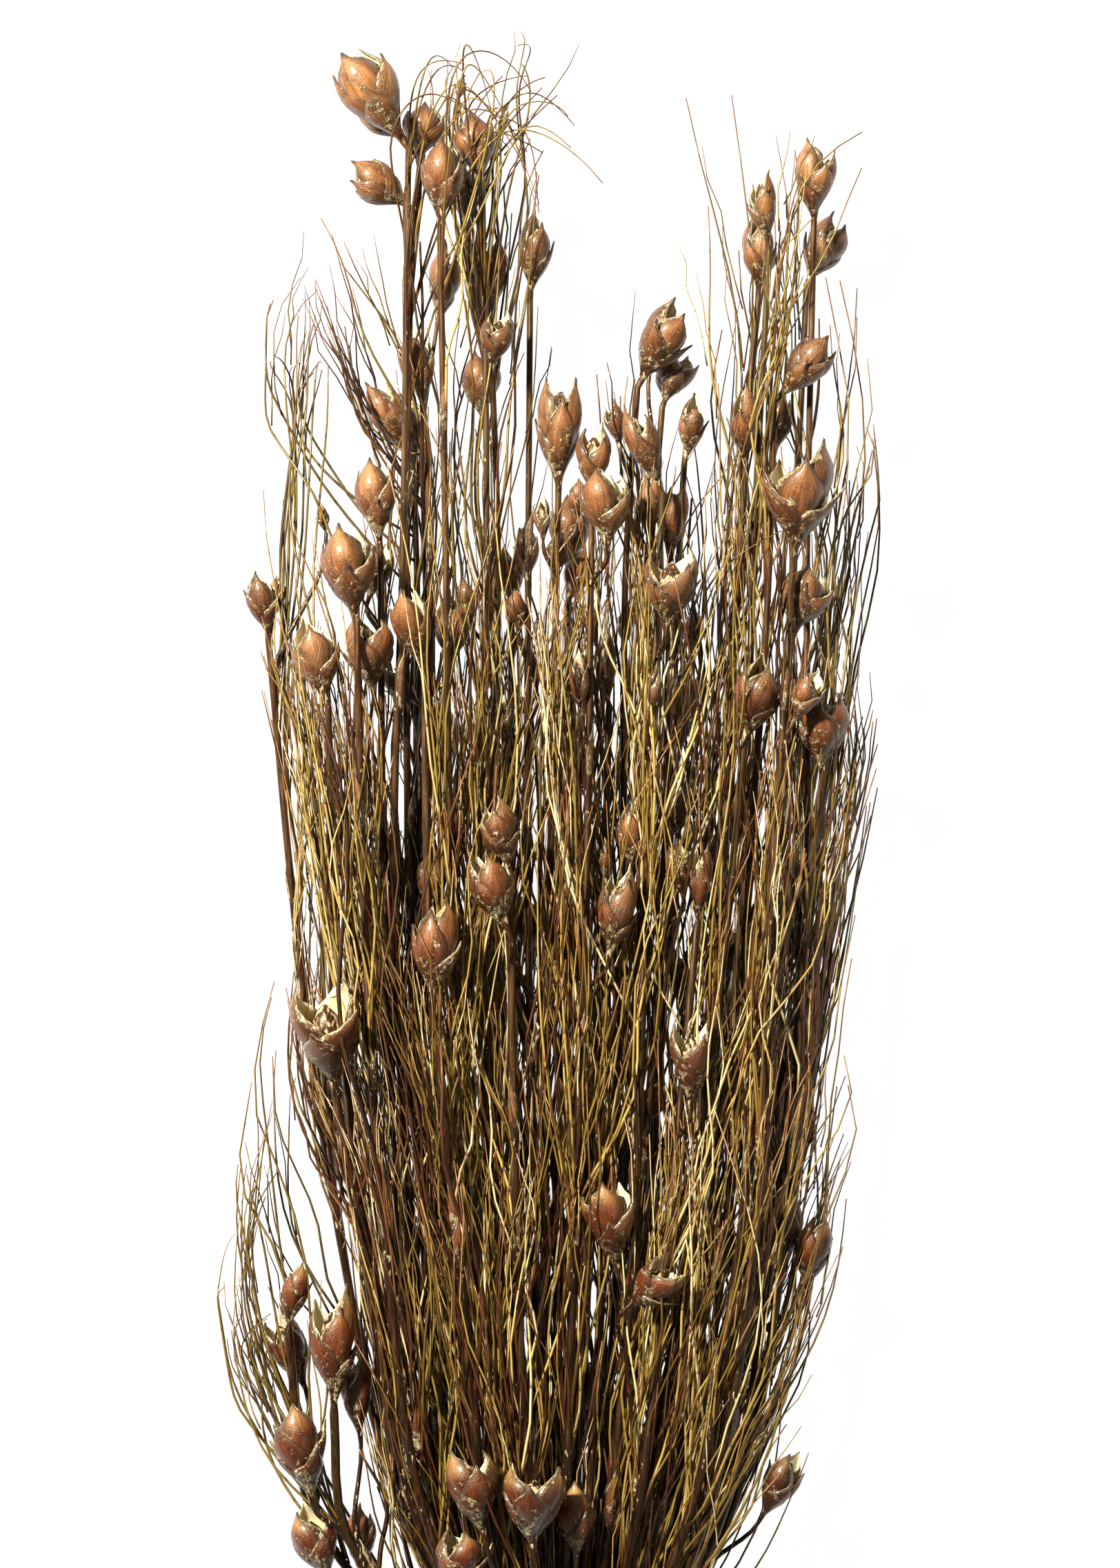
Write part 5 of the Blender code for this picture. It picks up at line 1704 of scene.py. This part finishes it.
@dataclass
class Brush:
    """The full mass of barren branchlets: tufts, whorls at the joints, forks, curls and branches.

    A tuple for a length, lean, rise or foot is the least and the most of what is drawn evenly; one
    for a tone is its mean and its deviation. Lengths are in millimetres.
    """

    bunch: Bunch
    tuft_few: float = 2.0
    tuft_more: float = 0.23
    tuft_most: int = 42
    tuft_reach: float = 13.0
    tuft_foot: tuple = (-1.6, 1.0)
    tuft_depth: float = 10.0
    tuft_cut: tuple = (0.62, 1.0)
    hidden_depth: float = 0.35
    hidden_share: float = 0.4
    clump: int = 6
    clump_rise: float = 8.0
    clump_tone: tuple = (0.47, 0.24)
    clump_shades: float = 0.13
    sway_middle: float = 0.9
    sway_tip: float = 0.6
    aside_tip: float = 0.9
    lowest_foot: float = 160.0
    foot_step: float = 25.0
    foot_chance: float = 12.0
    whorl_count: tuple = (4, 8)
    whorl_length: tuple = (80.0, 185.0)
    whorl_tone: tuple = (0.42, 0.28)
    whorl_foot: tuple = (-9.0, 9.0)
    whorl_lean: tuple = (0.04, 0.22)
    whorl_leans: tuple = (1.0, 1.0, 1.0, 1.9)
    thin_above: float = 420.0
    thin_share: float = 0.55
    apart_share: float = 0.3
    whorl_least: float = 50.0
    whorl_past_top: float = 8.0
    branch_counts: tuple = ((1, 1, 2), (0, 1))
    branch_few_above: float = 400.0
    branch_length: tuple = (130.0, 300.0)
    branch_lean: tuple = (0.03, 0.09)
    branch_bow: tuple = (3.0, 9.0)
    branch_tone: tuple = (0.0, 0.12)
    fork_counts: tuple = (0, 1, 1, 2)
    fork_foot: tuple = (0.42, 0.72)
    fork_length: tuple = (26.0, 62.0)
    fork_lean: tuple = (0.05, 0.2)
    fork_tone: tuple = (0.05, 0.1)
    tuft_radius: float = 0.50
    whorl_radius: float = 0.47
    fork_radius: float = 0.30
    branch_radius: float = 0.85
    curl_radius: float = 0.42
    stray: float = 0.020
    curl: float = 0.048
    curls: tuple = ((-53, 640, -54, 754, -16, 708), (-50, 650, -64, 748, -36, 728),
                    (-40, 640, -46, 764, -10, 704), (-34, 640, -26, 764, -6, 676),
                    (-46, 630, -30, 742, 4, 700), (-38, 640, -8, 736, -22, 736))
    curls_each: int = 4
    curl_foot: tuple = (-30.0, 10.0)
    curl_height: float = 45.0
    curl_rise: tuple = (-6.0, 30.0)
    curl_tone: tuple = (0.12, 0.6)
    deepest: float = 56.0
    tries: int = 5
    shown_above: float = 14.0
    edge: float = 9.0
    soft: float = 4.0
    apart: float = -67.0
    highest: float = 743.0
    top_scatter: tuple = (37.0, 14.0)
    veil: float = 1.25
    core: tuple = (0.32, 0.74)
    thinning: float = 0.60
    limits: tuple = ((100, 180, 230, 285, 335, 380, 430, 470, 520, 570, 640, 700, 735),
                     (-60, -112, -112, -120, -112, -104, -90, -96, -108, -104, -103, -84, -80),
                     (60, 82, 92, 98, 106, 96, 104, 112, 111, 113, 104, 110, 90),
                     (-60, -64, -68, -72, -78, -88, -88, -94, -104, -104, -103, -84, -80))
    made: list[Branchlet] = field(default_factory=list)
    low: np.ndarray = field(init=False)
    high: np.ndarray = field(init=False)
    size: np.ndarray = field(init=False)
    shown: np.ndarray = field(init=False)

    def __post_init__(self) -> None:
        """Notes where the heads are, so that branchlets keep out of them."""
        heads = [(h.base, h.tip, h.width) for h in self.bunch.heads]
        heads += [(s.points[-1], s.tip, s.row[4]) for s in self.bunch.stems]
        self.low, self.high = (np.array([base + (tip - base) * share for base, tip, _ in heads])
                               for share in self.core)
        self.size = np.array([width / 2.0 for _, _, width in heads])
        self.shown = np.array([base[2] > self.shown_above for base, _, _ in heads])

    def keep(self, branchlet: Branchlet, over: float = 0.0) -> bool:
        """Takes a branchlet in where it stays out of every head and doesn't hide one.

        Args:
            branchlet: The branchlet.
            over: How much its height over a shown head counts: 0 where it may not pass in front of
                the head at all, 1 where it only has to stay clear of it.

        Returns:
            True where it was taken.
        """
        points = branchlet.at(np.linspace(0.1, 1.0, 18))
        way = self.high - self.low
        share = ((points[:, None] - self.low[None]) * way[None]).sum(-1) / (way * way).sum(-1)[None]
        nearest = self.low[None] + way[None] * np.clip(share, 0.0, 1.0)[..., None]
        off = points[:, None] - nearest
        gap = np.linalg.norm(off, axis=-1)
        beside = np.linalg.norm(off[..., :2], axis=-1) * self.veil
        above = self.shown[None] & (off[..., 2] > 0.0)
        if not (np.where(above, np.maximum(beside, gap * over), gap) > self.size[None]).all():
            return False
        self.made.append(branchlet)
        return True

    def hold(self, point: np.ndarray, foot: np.ndarray) -> np.ndarray:
        """Keeps a point within the bunch.

        Args:
            point: The point.
            foot: Where its branchlet springs from: the low stems on the left stand apart.

        Returns:
            The same point, moved in where it was outside.
        """
        ys, left, right, inner_left = self.limits
        if foot[0] > self.apart:
            left = inner_left
        for edge, sign in ((left, -1.0), (right, 1.0)):
            over = sign * (point[0] - np.interp(point[1], ys, edge)) + self.edge
            if over > 0.0:
                point[0] -= sign * (over - self.edge * math.tanh(over / (2.0 * self.edge)))
        # The uppermost tips end at different heights.
        times, most = self.top_scatter
        point[1] = min(point[1], self.highest - (point[1] * times) % most)
        point[2] = min(max(point[2], THREAD_LOWEST_Z), THREAD_HIGHEST_Z)
        return point

    def foothold(self, x: float, y: float, z: float, dice: random.Random) -> tuple[float, Stem]:
        """Finds the stem that a branchlet of a tuft springs from, lower down where none is near.

        Args:
            x: Where the tuft is rooted, across the bunch.
            y: How far from the butts.
            z: How high.
            dice: Numbers that spread the choice.

        Returns:
            The distance from the butts and the stem.
        """
        while y > self.lowest_foot and not any(
                stem.points[-1][1] > y + THREAD_TOP_MARGIN and abs(stem.at(y)[0] - x) < self.tuft_reach
                for stem in self.bunch.stems):
            y -= self.foot_step
        return y, self.bunch.nearest_stem(x, y, z, self.foot_chance, dice)

    def grow_curls(self) -> None:
        """Grows the long hairs that arc over at the top of the left group."""
        dice = dice_for(Draw.CURLS)
        for root_x, root_y, bend_x, bend_y, tip_x, tip_y in self.curls:
            for _ in range(self.curls_each):
                root_at = root_y + dice.uniform(*self.curl_foot)
                y, stem = self.foothold(root_x, root_at, self.curl_height, dice)
                foot = stem.at(y)
                for _ in range(self.tries):
                    rise = dice.uniform(*self.curl_rise)
                    bend = np.array([bend_x + dice.gauss(0.0, 7.0), bend_y + dice.gauss(0.0, 8.0),
                                     foot[2] + rise])
                    tip = np.array([tip_x + dice.gauss(0.0, 9.0), tip_y + dice.gauss(0.0, 8.0),
                                    foot[2] + rise * 0.6])
                    tone = dice.uniform(*self.curl_tone)
                    if self.keep(Branchlet(stem.index, foot, bend, tip, self.curl_radius, tone), 1.0):
                        break

    def grow_tufts(self) -> None:
        """Fills every tuft of the part with more branchlets of the same lie."""
        for number, tuft in enumerate(TUFTS):
            dice = dice_for(Draw.TUFTS, number)
            root_x, root_y, mid_x, mid_y, tip_x, tip_y, spread, depth, _ = tuft
            share = self.hidden_share if depth < self.hidden_depth else 1.0
            count = min(self.tuft_most, int((self.tuft_few + self.tuft_more * spread ** 2) * share))
            clumps = [(dice.gauss(0.0, 1.0), dice.gauss(0.0, 1.0), dice.gauss(0.0, self.clump_rise),
                       dice.gauss(*self.clump_tone)) for _ in range(1 + count // self.clump)]
            for _ in range(count):
                sway, aside, sunk, shade = dice.choice(clumps)
                tone = unit(dice.gauss(shade, self.clump_shades))
                for _ in range(self.tries):
                    foot_y = root_y + dice.uniform(*self.tuft_foot) * THREAD_FOOT_SPREAD
                    hint = depth_to_z(root_x, depth) + dice.gauss(0.0, self.tuft_depth)
                    foot_y, stem = self.foothold(root_x, foot_y, hint, dice)
                    foot = stem.at(foot_y)
                    mark = np.array([min(foot[0], mid_x, tip_x), 0.0, 0.0])
                    middle = np.array([mid_x + sway * spread * self.sway_middle + dice.gauss(0.0, 2.2),
                                       mid_y + dice.uniform(-12.0, 12.0),
                                       0.5 * (foot[2] + hint + sunk) + dice.gauss(0.0, 3.0)])
                    lie = (self.sway_tip * sway + self.aside_tip * aside) * (spread + 1.5)
                    tip = np.array([tip_x + lie + dice.gauss(0.0, 3.2), tip_y,
                                    hint + sunk + dice.gauss(0.0, 4.0)])
                    tip = self.hold(tip, mark)
                    bend = 2.0 * self.hold(middle, mark) - 0.5 * (foot + tip)
                    radius = self.tuft_radius * dice.uniform(0.8, 1.2)
                    sprig = Branchlet(stem.index, foot, bend, tip, radius, tone)
                    sprig.cut(dice.uniform(*self.tuft_cut))
                    if self.keep(sprig):
                        break

    def grow_whorls(self) -> None:
        """Grows a whorl of branchlets from every joint."""
        for stem in self.bunch.stems:
            dice = dice_for(Draw.WHORLS, stem.index)
            for y in joints_of(stem):
                along, side, up = frame_of(stem.way(y))
                thin = 1.0 if y < self.thin_above else self.thin_share
                if stem.shoulder_x < self.apart:
                    thin = self.apart_share
                for _ in range(int(dice.randint(*self.whorl_count) * thin)):
                    tone = unit(dice.gauss(*self.whorl_tone))
                    foot = stem.at(y + dice.uniform(*self.whorl_foot))
                    for _ in range(self.tries):
                        room = stem.points[-1][1] + self.whorl_past_top - y
                        length = min(dice.uniform(*self.whorl_length), max(self.whorl_least, room))
                        lean = dice.uniform(*self.whorl_lean) * dice.choice(self.whorl_leans)
                        turn = dice.uniform(0.0, math.tau)
                        out = side * math.cos(turn) + up * math.sin(turn) * 0.8
                        tip = foot + along * length + out * length * lean
                        stray = np.array([dice.gauss(0.0, 4.0), 0.0, dice.gauss(0.0, 3.0)])
                        tip = self.hold(tip + stray, foot)
                        bend = foot + along * length * 0.45 + out * length * lean * dice.uniform(0.5, 1.2)
                        sprig = Branchlet(stem.index, foot, self.hold(bend, foot), tip,
                                          self.whorl_radius * dice.uniform(0.75, 1.3), tone)
                        if self.keep(sprig):
                            break

    def grow_branches(self) -> None:
        """Grows stiff brown branches, nearly as thick as a stalk, close along the culms."""
        for stem in self.bunch.stems:
            dice = dice_for(Draw.BRANCHES, stem.index)
            for y in joints_of(stem):
                foot = stem.at(y)
                along, side, up = frame_of(stem.way(y))
                for _ in range(dice.choice(self.branch_counts[y >= self.branch_few_above])):
                    room = stem.points[-1][1] - THREAD_TOP_MARGIN - y
                    length = min(dice.uniform(*self.branch_length), room)
                    turn = dice.uniform(0.0, math.tau)
                    out = side * math.cos(turn) + up * math.sin(turn)
                    for _ in range(self.tries):
                        aim = foot + along * length + out * length * dice.uniform(*self.branch_lean)
                        tip = self.hold(aim + (stem.at(y + length) - foot - along * length) * 0.8, foot)
                        bend = self.hold(0.5 * (foot + tip) + out * dice.uniform(*self.branch_bow), foot)
                        radius = self.branch_radius * dice.uniform(0.75, 1.25)
                        tone = dice.uniform(*self.branch_tone)
                        if self.keep(Branchlet(stem.index, foot, bend, tip, radius, tone)):
                            break

    def grow_forks(self) -> None:
        """Gives many branchlets one or two finer forks that run on to hair tips."""
        dice = dice_for(Draw.FORKS)
        for parent in list(self.made):
            for _ in range(dice.choice(self.fork_counts)):
                t = dice.uniform(*self.fork_foot)
                spots = parent.at(np.array([t, t + 0.04]))
                way = (spots[1] - spots[0]) / np.linalg.norm(spots[1] - spots[0])
                _, side, up = frame_of(way)
                turn = dice.uniform(0.0, math.tau)
                out = side * math.cos(turn) + up * math.sin(turn) * 0.7
                length = dice.uniform(*self.fork_length)
                tip = spots[0] + way * length + out * length * dice.uniform(*self.fork_lean)
                tip = self.hold(tip, np.minimum(parent.foot, parent.tip + 14.0))
                bend = spots[0] + way * length * 0.5 + out * length * 0.08
                self.made.append(Branchlet(parent.stem, spots[0], bend, tip, self.fork_radius,
                                           unit(parent.tone + dice.gauss(*self.fork_tone))))

    def grow(self) -> None:
        """Grows the whole mass, with the part's own branchlets in it."""
        self.made.extend(self.bunch.threads)
        self.grow_tufts()
        self.grow_whorls()
        self.grow_forks()
        self.grow_curls()
        self.grow_branches()

    def tube(self, branchlet: Branchlet, dice: random.Random) -> Tube:
        """Draws a branchlet as a tapering wire with a slight waver.

        Args:
            branchlet: The branchlet.
            dice: Numbers for the waver.

        Returns:
            The tube.
        """
        legs = branchlet.bend - branchlet.foot, branchlet.tip - branchlet.bend
        arcs = float(np.dot(*legs)) < 0.5 * float(np.linalg.norm(legs[0]) * np.linalg.norm(legs[1]))
        count = 22 if arcs else 6 if branchlet.radius <= self.fork_radius else 12
        t = np.linspace(0.0, 1.0, count)
        path = branchlet.at(t)
        length = float(np.linalg.norm(branchlet.tip - branchlet.foot))
        for k in (0, 2):
            phase = dice.uniform(0.0, math.tau)
            beat = dice.uniform(5.0, 13.0)
            stray = self.stray * length * dice.uniform(0.2, 1.6)
            path[:, k] += stray * (np.sin(t * beat + phase) - math.sin(phase)) * np.minimum(1.0, 3.0 * t)
            path[:, k] += dice.gauss(0.0, self.curl) * length * t ** 3
        ys, left, right, _ = self.limits
        for edge, sign in ((left, -1.0), (right, 1.0)):
            over = np.maximum(sign * (path[:, 0] - np.interp(path[:, 1], ys, edge)), 0.0)
            path[:, 0] -= sign * (over - self.soft * np.tanh(over / self.soft))
        over = np.maximum(path[:, 2] - THREAD_HIGHEST_Z + self.soft, 0.0)
        path[:, 2] -= over - self.soft * np.tanh(over / self.soft)
        path[:, 2] = np.maximum(path[:, 2], 1.0)
        radii = branchlet.radius * (1.0 - self.thinning * t * t)
        # How deep each point lies, which sets the painted shade of the branchlets low in the bunch.
        sunk = np.clip(1.1 - path[:, 2] / self.deepest, 0.0, 1.0)
        marks = np.column_stack((t, np.full(count, branchlet.tone), sunk))
        return Tube(path, radii, marks)

    def build(self, finish: Material) -> None:
        """Makes a piece of every stem's branchlets.

        Args:
            finish: The branchlets' material.
        """
        dice = dice_for(Draw.THREAD_WAVER)
        rows = {stem.index: [] for stem in self.bunch.stems}
        for branchlet in self.made:
            rows[branchlet.stem].append(self.tube(branchlet, dice))
        for stem in self.bunch.stems:
            tubes = rows[stem.index]
            if tubes:
                declare(link(stem.node + "_branchlets", sweep(tubes, 0), finish), stem.node)


@dataclass
class Tie:
    """Three-ply twine wound round the stems near their cut ends, with a small knot on top."""

    cord_radius: float = 1.5
    ply_radius: float = 0.78
    ply_offset: float = 0.74
    lay: float = 8.0
    points_a_turn: int = 150
    knot_size: float = 1.35
    tails: tuple = ((14.0, 26.0), (-11.0, 31.0))

    def winding(self) -> np.ndarray:
        """Middle line of the wound cord.

        Returns:
            A row of points.
        """
        turns = np.linspace(0.0, TIE_TURNS, TIE_TURNS * self.points_a_turn)
        angle = math.pi / 2.0 + turns * math.tau
        reach = TIE_INNER + self.cord_radius
        pitch = (TIE_WIDTH - 2.0 * self.cord_radius) / TIE_TURNS
        y = TIE_Y - TIE_WIDTH / 2.0 + self.cord_radius + pitch * turns
        return np.column_stack((reach * np.cos(angle), y, TIE_Z + reach * np.sin(angle)))

    def knot(self) -> np.ndarray:
        """Middle line of the overhand knot.

        Returns:
            A row of points.
        """
        t = np.linspace(0.0, math.tau, 120)
        x = np.sin(t) + 2.0 * np.sin(2.0 * t)
        y = np.cos(t) - 2.0 * np.cos(2.0 * t)
        z = -np.sin(3.0 * t)
        top = TIE_Z + TIE_INNER + 2.0 * self.cord_radius + 1.2
        return np.column_stack((x * self.knot_size, TIE_Y + y * self.knot_size, top + z * self.knot_size))

    def tail(self, x: float, length: float) -> np.ndarray:
        """Middle line of a loose end.

        Args:
            x: How far its end lies to the side.
            length: How far it runs along the stems.

        Returns:
            A row of points.
        """
        t = np.linspace(0.0, 1.0, 60)
        reach = TIE_INNER + self.cord_radius
        across = x * t ** 0.8
        y = TIE_Y - 2.0 - length * t
        z = TIE_Z + np.sqrt(np.maximum(reach ** 2 - across ** 2, 1.0)) + 3.0 * (1.0 - t) ** 2
        return np.column_stack((across, y, z))

    def plies(self, line: np.ndarray) -> list[Tube]:
        """Twists three plies round a line.

        Args:
            line: Middle line of the cord.

        Returns:
            A tube for each ply.
        """
        steps = np.vstack((np.diff(line, axis=0), line[-1] - line[-2]))
        length = np.concatenate(([0.0], np.cumsum(np.linalg.norm(np.diff(line, axis=0), axis=1))))
        steps = steps / np.linalg.norm(steps, axis=1)[:, None]
        side = np.cross(steps, (0.0, 1.0, 0.15))
        side = side / np.linalg.norm(side, axis=1)[:, None]
        up = np.cross(side, steps)
        made = []
        for ply in range(3):
            angle = math.tau * (length / self.lay + ply / 3.0)
            path = line + (np.cos(angle)[:, None] * side + np.sin(angle)[:, None] * up) * self.ply_offset
            marks = np.column_stack((length, angle, np.full(len(line), float(ply))))
            made.append(Tube(path, np.full(len(line), self.ply_radius), marks))
        return made

    def build(self, finish: Material) -> None:
        """Makes the tie.

        Args:
            finish: The twine's material.
        """
        lines = [self.winding(), self.knot()] + [self.tail(x, length) for x, length in self.tails]
        tubes = [tube for line in lines for tube in self.plies(line)]
        declare(link("tie_twine", sweep(tubes, 1), finish), "tie")


@dataclass
class Studio:
    """White ground, a key light from the upper left, a soft fill, and the camera above."""

    middle: tuple = (0.0067, 0.10125, 0.043)
    view_height: float = 0.5685
    distance: float = 3.0
    floor_size: float = 30.0
    sensor: float = 36.0
    key_place: tuple = (-1.3, 1.35, 2.0)
    key_size: float = 0.3
    key_power: float = 265.0
    fill_place: tuple = (1.5, -0.9, 1.9)
    fill_size: float = 1.6
    fill_power: float = 5.0
    sky: float = 0.12

    def floor(self, finish: Material) -> None:
        """Lays the sweep.

        Args:
            finish: The floor's material.
        """
        shape = bmesh.new()
        bmesh.ops.create_grid(shape, x_segments=2, y_segments=2, size=self.floor_size)
        mesh = bpy.data.meshes.new("floor")
        shape.to_mesh(mesh)
        shape.free()
        link("floor", mesh, finish)

    def lamp(self, name: str, spot: tuple, size: float, power: float) -> None:
        """Hangs a soft lamp that faces the bunch.

        Args:
            name: Its name.
            spot: Where it hangs.
            size: Its width.
            power: Its watts.
        """
        data = bpy.data.lights.new(name, "AREA")
        data.shape = "DISK"
        data.size = size
        data.energy = power
        aim = Vector(self.middle) - Vector(spot)
        place(name, data, spot).rotation_euler = aim.to_track_quat("-Z", "Y").to_euler()

    def build(self, finish: Material) -> None:
        """Sets up floor, lights and camera.

        Args:
            finish: The floor's material.
        """
        self.floor(finish)
        self.lamp("key", self.key_place, self.key_size, self.key_power)
        self.lamp("fill", self.fill_place, self.fill_size, self.fill_power)
        world = bpy.data.worlds.new("studio")
        world.use_nodes = True
        plug(world.node_tree, world.node_tree.nodes["Background"],
             {"Color": linear("FFFFFF"), "Strength": self.sky})
        bpy.context.scene.world = world
        bpy.context.scene.view_settings.view_transform = "Standard"
        data = bpy.data.cameras.new("camera")
        data.sensor_fit = "VERTICAL"
        data.sensor_height = self.sensor
        data.lens = self.sensor * self.distance / self.view_height
        x, y, z = self.middle
        bpy.context.scene.camera = place("camera", data, (x, y, z + self.distance))


def main() -> None:
    """Builds the bunch and its studio."""
    bunch = Bunch()
    bunch.grow()
    culm_finish = CulmFinish().make()
    bract_finish = BractFinish().make()
    for stem in bunch.stems:
        top = Head(stem.index, [], stem.points[-1], stem.tip, stem.row[4], stem.row[5])
        heads = [top] + [head for head in bunch.heads if head.stem == stem.index]
        Culm(stem, heads).build(culm_finish)
        Spikelets(stem, heads).build(bract_finish)
    brush = Brush(bunch)
    brush.grow()
    brush.build(BranchletFinish().make())
    Tie().build(TwineFinish().make())
    Studio().build(FloorFinish().make())


if __name__ == "__main__":
    main()
